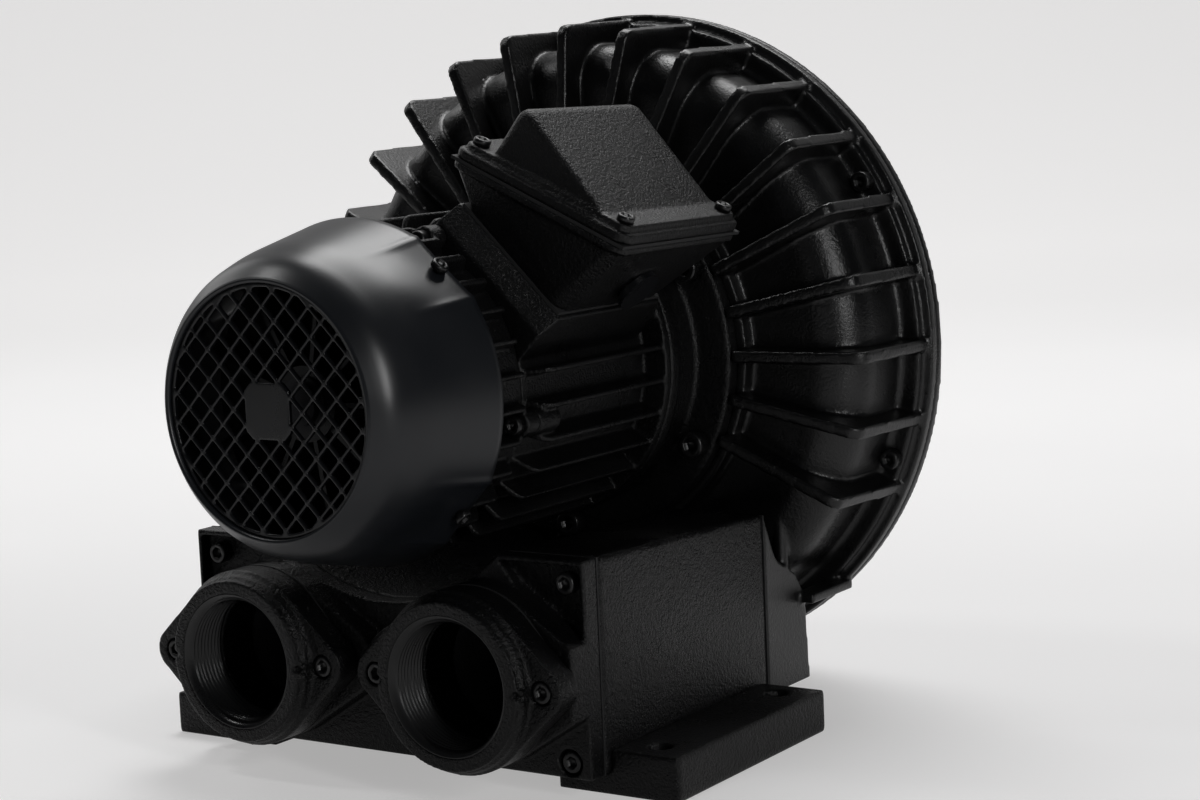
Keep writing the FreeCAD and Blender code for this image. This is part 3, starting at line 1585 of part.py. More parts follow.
def grille_plate():
    """The pierced plate, flat in its own X-Y plane."""
    pitch = sheet.get("grille_pitch")
    opening = (pitch - sheet.get("grille_bar")) / 2
    edge = sheet.get("cowl_nose") - sheet.get("cowl_sheet")
    hub = sheet.get("grille_hub_half")
    rows = int(edge / pitch) + 1
    diamonds = []
    for row in range(-rows, rows + 1):
        for column in range(-rows, rows + 1):
            middle_x = (row - column) * pitch / math.sqrt(2)
            middle_z = (row + column) * pitch / math.sqrt(2)
            reach = opening * math.sqrt(2)
            diamonds.append(
                flat_face(
                    [
                        (middle_x - reach, middle_z),
                        (middle_x, middle_z - reach),
                        (middle_x + reach, middle_z),
                        (middle_x, middle_z + reach),
                    ]
                )
            )
    bevel = hub - 3.5
    hub_face_plate = flat_face(
        [
            (hub, -bevel),
            (hub, bevel),
            (bevel, hub),
            (-bevel, hub),
            (-hub, bevel),
            (-hub, -bevel),
            (-bevel, -hub),
            (bevel, -hub),
        ]
    )
    field = disc_face(edge - 2).cut(hub_face_plate)
    openings = field.common(Part.makeCompound(diamonds))
    plate_part = disc_face(edge).cut(openings)
    return plate_part.extrude(FreeCAD.Vector(0, 0, sheet.get("grille_thick"))).Solids[0]


grille = doc.addObject("Part::Feature", "cowl_grille_plate")
grille.Shape = grille_plate()
place(grille, 0, grille_front + d.grille_thick, d.axis_height, X_AXIS, 90)
keep(grille, "cowl_grille")

# Terminal box: a flared casting on the pad, with a sloping lid and its own gaskets.
base_face = d.pad_reach + 1.5
base_gasket = doc.addObject("PartDesign::Body", "base_gasket_body")
place(base_gasket, 0, d.box_station, d.axis_height, Y_AXIS, d.box_turn)


def oblong(half_x, half_y, centre=0):
    """A rectangle from its half sides, moved along its first side."""
    half_x, half_y = size(half_x), size(half_y)
    return straight(
        [
            (centre - half_x, -half_y),
            (centre + half_x, -half_y),
            (centre + half_x, half_y),
            (centre - half_x, half_y),
        ]
    )


gasket_sketch = draw(
    base_gasket,
    "XY_Plane",
    [oblong(half_base, half_length)],
    [(0, 0, 14)] + [(bx, by, 2.7) for bx, by in base_bolts],
    d.pad_reach,
)
gasket_pad = base_gasket.newObject("PartDesign::Pad", "gasket_pad")
gasket_pad.Profile = gasket_sketch
bind(gasket_pad, Length=1.5)
keep(base_gasket, "terminal_box_gasket")

lid_local = d.lid_turn - d.box_turn
half_lid = d.lid_side / 2


def flare(name, shrink, base_n, top_drop):
    """A loft from the base to the larger, tilted lid square."""
    body = doc.addObject("PartDesign::Body", name)
    place(body, 0, d.box_station, d.axis_height, Y_AXIS, d.box_turn)
    base_loop = oblong(half_base - shrink, half_length - shrink)
    lid_half = half_lid - 1 - shrink
    low = draw(body, "XY_Plane", [base_loop], offset=base_n, name="low")
    high = draw(body, "XY_Plane", [oblong(lid_half, lid_half, d.lid_centre)], name="high")
    reach = d.lid_reach - top_drop
    high.AttachmentOffset = FreeCAD.Placement(
        FreeCAD.Vector(
            reach.value * math.sin(math.radians(lid_local.value)),
            0,
            reach.value * math.cos(math.radians(lid_local.value)),
        ),
        FreeCAD.Rotation(-Y_AXIS, -lid_local.value),
    )
    high.setExpression("AttachmentOffset.Base.x", (reach * sine(lid_local)).text)
    high.setExpression("AttachmentOffset.Base.z", (reach * cosine(lid_local)).text)
    high.setExpression("AttachmentOffset.Rotation.Angle", (d.box_turn - d.lid_turn).text)
    loft = body.newObject("PartDesign::AdditiveLoft", f"{name}_loft")
    loft.Profile = low
    loft.Sections = [high]
    loft.Ruled = True
    return body


lid_plane = doc.addObject("PartDesign::Body", "lip_body")
place(lid_plane, 0, d.box_station, d.axis_height, Y_AXIS, d.lid_turn)
lid_under = d.lid_reach - 8
lid_loop = oblong(half_lid, half_lid, d.lid_centre)
lip_sketch = draw(lid_plane, "XY_Plane", [lid_loop], offset=lid_under - 5)
lip_pad = lid_plane.newObject("PartDesign::Pad", "lip_pad")
lip_pad.Profile = lip_sketch
bind(lip_pad, Length=3.5)
flare_out = flare("flare_out", 0, base_face, 11.5)
flare_in = flare("flare_in", 4.5, base_face + 5, 6)


def gland_rod(name, radius, low, high):
    """A cylinder along the cable entry, between two distances from the box middle."""
    low, high = size(low), size(high)
    cylinder = doc.addObject("Part::Cylinder", name)
    bind(cylinder, Radius=radius, Height=high - low)
    x = d.gland_height * sine(d.box_turn) + low * cosine(d.box_turn)
    z = d.axis_height + d.gland_height * cosine(d.box_turn) - low * sine(d.box_turn)
    place(cylinder, x, d.box_station, z, Y_AXIS, 90 + d.box_turn)
    return cylinder


gland = gland_rod("gland_boss", 13, d.gland_reach - 10, d.gland_reach)
gland_bore = gland_rod("gland_bore", 8, d.gland_reach - 14, d.gland_reach + 2)
box_outer = fuse("terminal_outer", [flare_out, lid_plane])
box_solid = fuse("terminal_solid", [box_outer, gland])
box_tools = [flare_in, gland_bore]
lead_hole = doc.addObject("Part::Cylinder", "lead_hole")
bind(lead_hole, Radius=14, Height=12)
place(
    lead_hole,
    (d.pad_reach - 1) * sine(d.box_turn),
    d.box_station,
    d.axis_height + (d.pad_reach - 1) * cosine(d.box_turn),
    Y_AXIS,
    d.box_turn,
)
box_tools.append(lead_hole)


def box_cylinder(name, base_x, base_y, low, radius, length):
    """A cylinder square to the terminal box base, in the base's own coordinates."""
    low = size(low)
    cylinder = doc.addObject("Part::Cylinder", name)
    bind(cylinder, Radius=radius, Height=length)
    x = low * sine(d.box_turn) + base_x * cosine(d.box_turn)
    z = d.axis_height + low * cosine(d.box_turn) - base_x * sine(d.box_turn)
    place(cylinder, x, d.box_station + base_y, z, Y_AXIS, d.box_turn)
    return cylinder


def lid_cylinder(name, lid_x, lid_y, low, radius, length):
    """A cylinder square to the lid, in the lid's own coordinates."""
    low, lid_x, lid_y = size(low), size(lid_x), size(lid_y)
    cylinder = doc.addObject("Part::Cylinder", name)
    bind(cylinder, Radius=radius, Height=length)
    x = low * sine(d.lid_turn) + lid_x * cosine(d.lid_turn)
    z = d.axis_height + low * cosine(d.lid_turn) - lid_x * sine(d.lid_turn)
    place(cylinder, x, d.box_station + lid_y, z, Y_AXIS, d.lid_turn)
    return cylinder


for index, (base_x, base_y) in enumerate(base_bolts):
    box_tools.append(
        box_cylinder(f"base_hole_{index}", base_x, base_y, base_face - 1, 2.7, 8)
    )
lid_bolt = half_lid - d.lid_bolt_inset
lid_bolts = [
    (d.lid_centre - lid_bolt, -lid_bolt),
    (d.lid_centre + lid_bolt, -lid_bolt),
    (d.lid_centre - lid_bolt, lid_bolt),
    (d.lid_centre + lid_bolt, lid_bolt),
]
lid_posts = []
lid_taps = []
for index, (lid_x, lid_y) in enumerate(lid_bolts):
    lid_posts.append(
        lid_cylinder(f"lid_post_{index}", lid_x, lid_y, lid_under - 9, 5.5, 7.5)
    )
    lid_taps.append(lid_cylinder(f"lid_tap_{index}", lid_x, lid_y, lid_under - 8, 2, 8))
box_walls = cut("terminal_walls", box_solid, box_tools)
posts_inside = overlap("posts_inside", [fuse("lid_posts", lid_posts), box_outer])
box_posted = fuse("terminal_posted", [box_walls, posts_inside])
keep(cut("terminal_box_cut", box_posted, lid_taps), "terminal_box")

lid_gasket = doc.addObject("PartDesign::Body", "lid_gasket_body")
place(lid_gasket, 0, d.box_station, d.axis_height, Y_AXIS, d.lid_turn)
lid_gasket_sketch = draw(
    lid_gasket,
    "XY_Plane",
    [lid_loop, oblong(half_lid - 14, half_lid - 14, d.lid_centre)],
    [(lid_x, lid_y, 2.2) for lid_x, lid_y in lid_bolts],
    lid_under - 1.5,
)
lid_gasket_pad = lid_gasket.newObject("PartDesign::Pad", "lid_gasket_pad")
lid_gasket_pad.Profile = lid_gasket_sketch
bind(lid_gasket_pad, Length=1.5)
keep(lid_gasket, "terminal_lid_gasket")

lid_body = doc.addObject("PartDesign::Body", "lid_body")
place(lid_body, 0, d.box_station, d.axis_height, Y_AXIS, d.lid_turn)
lid_sketch = draw(lid_body, "XY_Plane", [lid_loop], offset=lid_under)
lid_pad = lid_body.newObject("PartDesign::Pad", "lid_pad")
lid_pad.Profile = lid_sketch
bind(lid_pad, Length=8)


def wedge(name, inset, width, low):
    """The sloping hump of the lid, as a profile padded along Y."""
    body = doc.addObject("PartDesign::Body", name)
    place(body, 0, d.box_station, d.axis_height, Y_AXIS, d.lid_turn)
    corners = [
        (3 + inset, low),
        (73 - inset * 1.6, low),
        (14 + inset * 0.3, d.lid_reach + 28 - inset),
        (10 + inset, d.lid_reach + 27 - inset),
    ]
    sketch = draw(body, "XZ_Plane", [straight(corners)])
    pad = body.newObject("PartDesign::Pad", f"{name}_pad")
    pad.Profile = sketch
    pad.Midplane = True
    bind(pad, Length=width)
    return body


hump = wedge("lid_hump", 0, d.lid_side - 7.5, d.lid_reach - 2)
hollow = wedge("lid_hollow", 4, d.lid_side - 16, lid_under - 1)
lid_whole = fuse("lid_whole", [lid_body, hump])
lid_tools = [hollow]
for index, (lid_x, lid_y) in enumerate(lid_bolts):
    lid_tools.append(lid_cylinder(f"lid_hole_{index}", lid_x, lid_y, lid_under - 1, 2.2, 14))
    lid_tools.append(lid_cylinder(f"lid_pocket_{index}", lid_x, lid_y, d.lid_reach, 7.5, 16))
keep(cut("terminal_lid_cut", lid_whole, lid_tools), "terminal_lid")
lid_screw_parts = []
for index, (lid_x, lid_y) in enumerate(lid_bolts):
    lid_screw_parts.append(
        lid_cylinder(f"lid_screw_shank_{index}", lid_x, lid_y, lid_under - 7.5, 2, 15.5)
    )
    lid_screw_parts.append(
        lid_cylinder(f"lid_screw_head_{index}", lid_x, lid_y, d.lid_reach, 4, 3)
    )
keep(fuse("lid_screw_group", lid_screw_parts), "terminal_lid_screws")
base_screw_parts = []
for index, (base_x, base_y) in enumerate(base_bolts):
    base_screw_parts.append(
        box_cylinder(f"base_screw_shank_{index}", base_x, base_y, d.pad_reach - 7.5, 2.5, 14)
    )
    base_screw_parts.append(
        box_cylinder(f"base_screw_head_{index}", base_x, base_y, base_face + 5, 4, 3.5)
    )
keep(fuse("base_screw_group", base_screw_parts), "terminal_box_screws")

# Terminal block with its six studs, and the plug in the cable entry.
block_body = doc.addObject("PartDesign::Body", "block_body")
place(block_body, 0, d.box_station, d.axis_height, Y_AXIS, d.box_turn)
stud_spots = [(bx, by) for bx in (-10, 10) for by in (-15, 0, 15)]
block_sketch = draw(
    block_body,
    "XY_Plane",
    [straight([(-21, -24), (21, -24), (21, 24), (-21, 24)])],
    [(bx, by, 2) for bx, by in stud_spots],
    base_face + 5,
)
block_pad = block_body.newObject("PartDesign::Pad", "block_pad")
block_pad.Profile = block_sketch
bind(block_pad, Length=9)
keep(block_body, "terminal_block")
studs = doc.addObject("PartDesign::Body", "stud_body")
place(studs, 0, d.box_station, d.axis_height, Y_AXIS, d.box_turn)
stud_sketch = draw(
    studs, "XY_Plane", circles=[(bx, by, 2) for bx, by in stud_spots], offset=base_face + 6
)
stud_pad = studs.newObject("PartDesign::Pad", "stud_pad")
stud_pad.Profile = stud_sketch
bind(stud_pad, Length=20)
keep(studs, "terminal_studs")
plug_head = gland_rod("plug_head", 11, d.gland_reach, d.gland_reach + 2.5)
plug_stem = gland_rod("plug_stem", 8, d.gland_reach - 9, d.gland_reach)
keep(fuse("plug_fuse", [plug_head, plug_stem]), "cable_entry_plug")

doc.recompute()

faults = []
for thing in doc.Objects:
    if "Invalid" in thing.State or "Error" in thing.State:
        faults.append(f"{thing.Name}: {thing.State}")
for node in nodes:
    if node.Shape.isNull() or not node.Shape.isValid() or node.Shape.Volume <= 0:
        faults.append(f"{node.Label}: shape")
if faults:
    raise ValueError("; ".join(faults))

os.makedirs("parts", exist_ok=True)
for node in nodes:
    node.Shape.exportStep(f"parts/{node.Label}.step")
print(len(nodes), "pieces written")
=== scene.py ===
import bmesh
import bpy
import json
import math
from mathutils import Matrix, Vector

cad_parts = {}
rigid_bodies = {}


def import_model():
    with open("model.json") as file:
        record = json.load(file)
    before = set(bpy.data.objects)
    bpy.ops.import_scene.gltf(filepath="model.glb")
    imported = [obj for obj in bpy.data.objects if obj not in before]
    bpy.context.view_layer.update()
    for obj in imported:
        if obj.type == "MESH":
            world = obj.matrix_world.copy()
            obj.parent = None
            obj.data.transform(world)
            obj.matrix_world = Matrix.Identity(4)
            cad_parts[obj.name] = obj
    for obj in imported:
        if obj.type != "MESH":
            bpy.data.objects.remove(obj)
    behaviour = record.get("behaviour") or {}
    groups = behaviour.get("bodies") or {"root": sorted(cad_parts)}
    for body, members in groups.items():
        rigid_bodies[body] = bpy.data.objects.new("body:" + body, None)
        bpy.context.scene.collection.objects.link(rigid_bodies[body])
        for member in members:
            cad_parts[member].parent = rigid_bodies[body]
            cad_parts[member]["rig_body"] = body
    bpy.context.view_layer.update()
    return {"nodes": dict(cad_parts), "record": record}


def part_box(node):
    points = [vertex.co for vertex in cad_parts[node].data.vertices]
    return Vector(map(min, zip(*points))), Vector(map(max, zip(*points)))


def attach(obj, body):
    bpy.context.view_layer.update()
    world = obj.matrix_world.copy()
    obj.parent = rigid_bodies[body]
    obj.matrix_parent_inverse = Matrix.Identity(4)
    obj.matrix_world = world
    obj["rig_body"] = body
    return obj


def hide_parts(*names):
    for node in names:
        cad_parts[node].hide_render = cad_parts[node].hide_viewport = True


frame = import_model()
nodes = frame["nodes"]
scene = bpy.context.scene

SLOTS = {row["node"]: row["material_slot"] for row in frame["record"]["subparts"]}

# Camera: place and turn found from the round rims, the ports and the straight edges.
AZIMUTH = 0.5886
DIP = 0.1239
ROLL = 0.0422
FOCAL_PIXELS = 2435.66
FRAME_WIDTH = 1200
SENSOR = 36.0
CAMERA_PLACE = (0.6974, -0.9403, 0.3076)

# Stage: a floor that runs from FLOOR_FRONT to CURVE_START and bends up into a wall, in
# metres along the camera's heading. Its pale glow grows with the distance, and is dimmed
# in front of the machine: painted shade in what its faces towards the camera mirror.
FLOOR_FRONT = -6.0
FLOOR_HALF = 7.0
CURVE_START = 2.2
CURVE_RADIUS = 1.6
CURVE_STEPS = 16
WALL_TOP = 6.0
PAPER_DARK = (0.56, 0.555, 0.56)
PAPER_LIGHT = (0.61, 0.605, 0.605)
GLOW_COLOUR = (1.0, 0.99, 0.985, 1.0)
GLOW_NEAR = 0.4
GLOW_FAR = 0.67
GLOW_REACH = (0.3, 2.6)
FRONT_REACH = (-1.1, -0.3)
FRONT_SHARE = 0.42
GLOSSY_SHARE = 0.4

# Light: a faint sky, and lamps as (name, place, aim, size, watts).
WORLD_COLOUR = (0.9, 0.94, 1.0, 1.0)
WORLD_STRENGTH = 0.035
LAMPS = (
    ("overhead", (-0.3, 1.1, 2.1), (0.0, 0.15, 0.15), (1.5, 1.0), 30.0),
    ("right", (1.75, -0.75, 0.75), (0.0, 0.05, 0.18), (0.17, 0.9), 9.0),
    ("left", (-1.9, 0.5, 1.2), (0.0, 0.0, 0.2), (0.8, 1.0), 3.0),
    ("glint", (-1.1, -0.4, 1.8), (0.0, -0.05, 0.1), (0.3, 0.3), 4.0),
)

# Machine: the motor axis, the ports and the turned frames of the terminal box.
MM = 0.001
WELD = 2e-6
AXIS_HEIGHT = 0.179
PORT_X = 0.0608
PORT_Z = 0.0551
LID_TURN = math.radians(24.9)
BASE_TURN = math.radians(45.0)
BOX_STATION = -8.0 * MM

# Soft edges: a skin of voxels, faired in pairs that keep the volume, then relaxed.
FAIR_PAIRS = 5
FAIR_FACTORS = (0.55, -0.57)
RELAX_FACTOR = 0.5

# Skins as (voxel in metres, relaxing passes, share of the faces kept), and the castings
# that are a node's own shape under such a skin.
PORT_SKIN = (0.0008, 3, 0.6)
BOX_SKIN = (0.0009, 3, 0.5)
LID_SKIN = (0.0009, 4, 0.5)
CASTINGS = (
    ("side_channel_casing", 0.00105, 4, 0.35),
    ("rear_cover", 0.0013, 4, 0.3),
    ("silencer_housing", 0.0015, 4, 0.3),
    ("front_plate", 0.0008, 5, 0.25),
    ("foot_left", 0.0012, 8, 0.3),
    ("foot_right", 0.0012, 8, 0.3),
    ("motor_frame", 0.0009, 3, 0.5),
    ("drive_end_shield", 0.0013, 4, 0.5),
    ("non_drive_end_shield", 0.0009, 3, 0.5),
    ("cowl_grille", 0.00045, 2, 0.7),
)


def add_camera():
    forward = Vector(
        (-math.sin(AZIMUTH) * math.cos(DIP), math.cos(AZIMUTH) * math.cos(DIP), -math.sin(DIP))
    )
    right = Vector((math.cos(AZIMUTH), math.sin(AZIMUTH), 0.0))
    down = forward.cross(right)
    across = right * math.cos(ROLL) + down * math.sin(ROLL)
    below = down * math.cos(ROLL) - right * math.sin(ROLL)
    turn = Matrix((across, -below, -forward)).transposed()
    data = bpy.data.cameras.new("camera")
    data.sensor_width = SENSOR
    data.sensor_fit = "HORIZONTAL"
    data.lens = FOCAL_PIXELS / FRAME_WIDTH * SENSOR
    data.clip_start = 0.01
    data.clip_end = 50.0
    camera = bpy.data.objects.new("camera", data)
    camera.matrix_world = Matrix.Translation(CAMERA_PLACE) @ turn.to_4x4()
    scene.collection.objects.link(camera)
    scene.camera = camera


def add_light(name, place, aim, size, power):
    data = bpy.data.lights.new(name, "AREA")
    data.shape = "RECTANGLE"
    data.size = size[0]
    data.size_y = size[1]
    data.energy = power
    lamp = bpy.data.objects.new(name, data)
    lamp.location = place
    lamp.rotation_euler = (Vector(aim) - Vector(place)).to_track_quat("-Z", "Y").to_euler()
    lamp.visible_camera = False
    scene.collection.objects.link(lamp)


def add_world():
    world = bpy.data.worlds.new("world")
    scene.world = world
    world.use_nodes = True
    back = world.node_tree.nodes["Background"]
    back.inputs["Color"].default_value = WORLD_COLOUR
    back.inputs["Strength"].default_value = WORLD_STRENGTH


class Nodes:
    """A material's node tree, with short calls for the nodes used here."""

    def __init__(self, name):
        self.material = bpy.data.materials.new(name)
        self.material.use_nodes = True
        self.tree = self.material.node_tree
        self.shader = self.tree.nodes["Principled BSDF"]
        self.place = self.tree.nodes.new("ShaderNodeTexCoord").outputs["Object"]

    def link(self, source, target):
        self.tree.links.new(source, target)

    def noise(self, scale, detail=3.0, roughness=0.55, stretch=None):
        node = self.tree.nodes.new("ShaderNodeTexNoise")
        node.inputs["Scale"].default_value = scale
        node.inputs["Detail"].default_value = detail
        node.inputs["Roughness"].default_value = roughness
        source = self.place
        if stretch:
            mapping = self.tree.nodes.new("ShaderNodeMapping")
            mapping.inputs["Scale"].default_value = stretch
            self.link(self.place, mapping.inputs["Vector"])
            source = mapping.outputs["Vector"]
        self.link(source, node.inputs["Vector"])
        return node.outputs["Fac"]

    def cells(self, scale):
        node = self.tree.nodes.new("ShaderNodeTexVoronoi")
        node.inputs["Scale"].default_value = scale
        self.link(self.place, node.inputs["Vector"])
        return node.outputs["Distance"]

    def range(self, value, low, high, to_low, to_high):
        node = self.tree.nodes.new("ShaderNodeMapRange")
        for index, number in ((1, low), (2, high), (3, to_low), (4, to_high)):
            node.inputs[index].default_value = number
        self.link(value, node.inputs[0])
        return node.outputs[0]

    def mix(self, factor, first, second):
        node = self.tree.nodes.new("ShaderNodeMix")
        node.data_type = "RGBA"
        node.inputs["A"].default_value = (*first, 1.0)
        node.inputs["B"].default_value = (*second, 1.0)
        self.link(factor, node.inputs["Factor"])
        return node.outputs["Result"]

    def sum(self, first, second, weight):
        """first + weight * second."""
        node = self.tree.nodes.new("ShaderNodeMath")
        node.operation = "MULTIPLY_ADD"
        self.link(second, node.inputs[0])
        node.inputs[1].default_value = weight
        self.link(first, node.inputs[2])
        return node.outputs[0]

    def both(self, way, first, second):
        node = self.tree.nodes.new("ShaderNodeMath")
        node.operation = way
        self.link(first, node.inputs[0])
        self.link(second, node.inputs[1])
        return node.outputs[0]

    def most(self, first, second):
        return self.both("MAXIMUM", first, second)

    def times(self, first, second):
        return self.both("MULTIPLY", first, second)

    def bump(self, height, distance):
        node = self.tree.nodes.new("ShaderNodeBump")
        node.inputs["Strength"].default_value = 1.0
        node.inputs["Distance"].default_value = distance
        self.link(height, node.inputs["Height"])
        self.link(node.outputs["Normal"], self.shader.inputs["Normal"])


def painted(name, dark, light, grain, depth, rough, specks=0.0, shine=0.5):
    """Paint over sand grain or orange peel, with broad clouds of tone and gloss.

    grain is waves per metre, depth is metres, rough is the lowest and highest roughness,
    specks is the share of small pits in the relief.
    """
    n = Nodes(name)
    broad = n.noise(22.0, 3.0)
    peel = n.noise(grain * 0.4, 2.0, 0.5)
    fine = n.noise(grain, 3.0, 0.65)
    pits = n.cells(grain * 0.5)
    tone = n.sum(n.range(broad, 0.35, 0.7, 0.0, 0.7), fine, 0.3)
    n.link(n.mix(tone, dark, light), n.shader.inputs["Base Color"])
    gloss = n.range(broad, 0.3, 0.72, rough[0], rough[1])
    n.link(n.sum(gloss, fine, 0.06), n.shader.inputs["Roughness"])
    n.shader.inputs["Specular IOR Level"].default_value = shine
    height = n.sum(fine, peel, 0.35)
    if specks:
        height = n.sum(height, n.range(pits, 0.0, 0.22, 0.0, 1.0), specks)
    n.bump(height, depth)
    return n.material


def metal(name, colour, worn, grain, depth, rough, stretch=None):
    """Bare metal with machining or casting marks."""
    n = Nodes(name)
    broad = n.noise(60.0, 3.0)
    fine = n.noise(grain, 4.0, 0.6, stretch=stretch)
    n.link(n.mix(n.range(broad, 0.3, 0.7, 0.0, 1.0), colour, worn), n.shader.inputs["Base Color"])
    n.link(n.range(fine, 0.3, 0.75, rough[0], rough[1]), n.shader.inputs["Roughness"])
    n.shader.inputs["Metallic"].default_value = 1.0
    n.bump(fine, depth)
    return n.material


def soot(level):
    """A near black with a little blue in it."""
    return (level, level, level * 1.06)


# Paints and plastics as (name, dark, light, grain, depth, roughness, specks, shine).
PAINTS = (
    ("black_casting", soot(0.0018), soot(0.006), 680.0, 0.0008, (0.18, 0.32), 0.45, 0.27),
    ("black_iron", soot(0.002), soot(0.0065), 760.0, 0.0006, (0.22, 0.36), 0.4, 0.3),
    ("run_paint", soot(0.0018), soot(0.0055), 700.0, 0.00026, (0.22, 0.34), 0.2, 0.5),
    ("black_sheet", (0.008, 0.0092, 0.0115), (0.0112, 0.0125, 0.015), 1500.0, 8e-6, (0.27, 0.33)),
    ("black_plastic", (0.003, 0.0032, 0.004), (0.006, 0.0063, 0.0075), 1400.0, 3e-5, (0.2, 0.32)),
    ("black_screw", soot(0.003), soot(0.008), 900.0, 6e-5, (0.2, 0.36)),
    ("brown_plastic", (0.06, 0.03, 0.016), (0.09, 0.045, 0.025), 1300.0, 4e-5, (0.4, 0.55)),
    ("seal_rubber", soot(0.006), soot(0.016), 1600.0, 6e-5, (0.6, 0.8)),
    ("grey_felt", soot(0.02), soot(0.05), 1100.0, 0.0005, (0.85, 0.95), 0.6),
)

# Bare metals as (name, tone, worn tone, grain, depth, roughness, stretch of the grain).
METALS = (
    ("bare_aluminium", (0.62, 0.62, 0.63), (0.48, 0.48, 0.49), 420.0, 0.0001, (0.32, 0.55)),
    ("bare_steel", (0.5, 0.5, 0.5), (0.36, 0.36, 0.37), 600.0, 5e-5, (0.22, 0.42)),
    # Steel inside the cowl, darkened to near black: painted shade, not a real tone of the steel.
    ("shade_darkened_steel", (0.07, 0.07, 0.075), (0.04, 0.04, 0.042), 600.0, 5e-5, (0.35, 0.55)),
    ("brass", (0.72, 0.5, 0.2), (0.55, 0.36, 0.13), 600.0, 5e-5, (0.25, 0.45)),
    (
        "enamelled_wire",
        (0.55, 0.2, 0.07),
        (0.4, 0.13, 0.05),
        900.0,
        0.0003,
        (0.3, 0.5),
        (1.0, 6.0, 1.0),
    ),
)
LOOKS = {row[0]: painted(*row) for row in PAINTS}
LOOKS.update({row[0]: metal(*row) for row in METALS})

# Nodes that don't look like the rest of their slot: runny paint, and steel inside the cowl
# darkened to near black as painted shade.
OWN_LOOKS = {
    "side_channel_casing": "run_paint",
    "rear_cover": "run_paint",
    "motor_shaft": "shade_darkened_steel",
    "fan_retaining_ring": "shade_darkened_steel",
}


def look_of(name):
    return LOOKS[OWN_LOOKS.get(name, SLOTS[name])]


def dress():
    for name, piece in nodes.items():
        if not piece.material_slots:
            piece.data.materials.append(look_of(name))
        for holder in piece.material_slots:
            holder.material = look_of(name)


def finish_piece(piece, name):
    """Gives a new piece its material and hands it the place of its node."""
    piece.data.materials.clear()
    piece.data.materials.append(look_of(name))
    for face in piece.data.polygons:
        face.material_index = 0
        face.use_smooth = True
    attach(piece, nodes[name]["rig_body"])
    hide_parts(name)


def new_piece(name, vertices, faces):
    mesh = bpy.data.meshes.new(name)
    mesh.from_pydata(vertices, [], faces)
    piece = bpy.data.objects.new(name, mesh)
    scene.collection.objects.link(piece)
    return piece


def clean(mesh):
    """Welds a mesh and turns its faces outwards."""
    work = bmesh.new()
    work.from_mesh(mesh)
    bmesh.ops.remove_doubles(work, verts=work.verts, dist=WELD)
    bmesh.ops.recalc_face_normals(work, faces=work.faces)
    work.to_mesh(mesh)
    work.free()


def join(target, others):
    """Adds the meshes of other objects to the target's, and removes those objects."""
    work = bmesh.new()
    work.from_mesh(target.data)
    for other in others:
        work.from_mesh(other.data)
        bpy.data.objects.remove(other)
    work.to_mesh(target.data)
    work.free()


def set_modifiers(piece):
    """Applies all modifiers of a piece."""
    depsgraph = bpy.context.evaluated_depsgraph_get()
    done = bpy.data.meshes.new_from_object(piece.evaluated_get(depsgraph))
    piece.modifiers.clear()
    piece.data = done


def soften(piece, voxel, passes, keep):
    """One skin with soft edges over everything in the mesh, as paint lies on a casting."""
    remesh = piece.modifiers.new("remesh", "REMESH")
    remesh.mode = "VOXEL"
    remesh.voxel_size = voxel * 1.0
    for number in range(FAIR_PAIRS):
        for factor in FAIR_FACTORS:
            fair = piece.modifiers.new(f"fair_{number}", "SMOOTH")
            fair.factor = factor
            fair.iterations = 1
    relax = piece.modifiers.new("relax", "SMOOTH")
    relax.factor = RELAX_FACTOR
    relax.iterations = passes
    thin = piece.modifiers.new("thin", "DECIMATE")
    thin.ratio = keep
    set_modifiers(piece)


def copy_of(name):
    piece = bpy.data.objects.new(f"{name}_cast", nodes[name].data.copy())
    scene.collection.objects.link(piece)
    clean(piece.data)
    return piece


def cast(name, *skin):
    """A casting with the node's own shape and soft edges."""
    piece = copy_of(name)
    soften(piece, *skin)
    finish_piece(piece, name)


ARC_STEP = 0.12


def arc_run(points):
    """Corner points (x, y, radius) as a smooth run, with an arc in each rounded corner."""
    run = []
    last = len(points) - 1
    for index, (x, y, radius) in enumerate(points):
        if not radius or index in (0, last):
            run.append((x, y))
            continue
        here = Vector((x, y))
        back = (Vector(points[index - 1][:2]) - here).normalized()
        ahead = (Vector(points[index + 1][:2]) - here).normalized()
        half = back.angle(ahead) / 2
        middle = here + (back + ahead).normalized() * (radius / math.sin(half))
        start = here + back * (radius / math.tan(half)) - middle
        end = here + ahead * (radius / math.tan(half)) - middle
        first = math.atan2(start.y, start.x)
        sweep = math.remainder(math.atan2(end.y, end.x) - first, 2 * math.pi)
        steps = max(3, int(abs(sweep) / ARC_STEP))
        for step in range(steps + 1):
            turn = first + sweep * step / steps
            run.append((middle.x + radius * math.cos(turn), middle.y + radius * math.sin(turn)))
    return run


def turned(name, run, centre, count=144, shift=None):
    """A closed profile of (radius, station) in mm, turned about a line along Y."""
    vertices = []
    for step in range(count):
        turn = 2 * math.pi * step / count
        for radius, station in run:
            if shift:
                radius = shift(radius, station, turn)
            vertices.append(
                (
                    centre[0] + radius * MM * math.cos(turn),
                    station * MM,
                    centre[1] + radius * MM * math.sin(turn),
                )
            )
    size = len(run)
    faces = []
    for step in range(count):
        here, there = step * size, (step + 1) % count * size
        for index in range(size):
            beyond = (index + 1) % size
            faces.append((here + index, here + beyond, there + beyond, there + index))
    piece = new_piece(name, vertices, faces)
    clean(piece.data)
    return piece


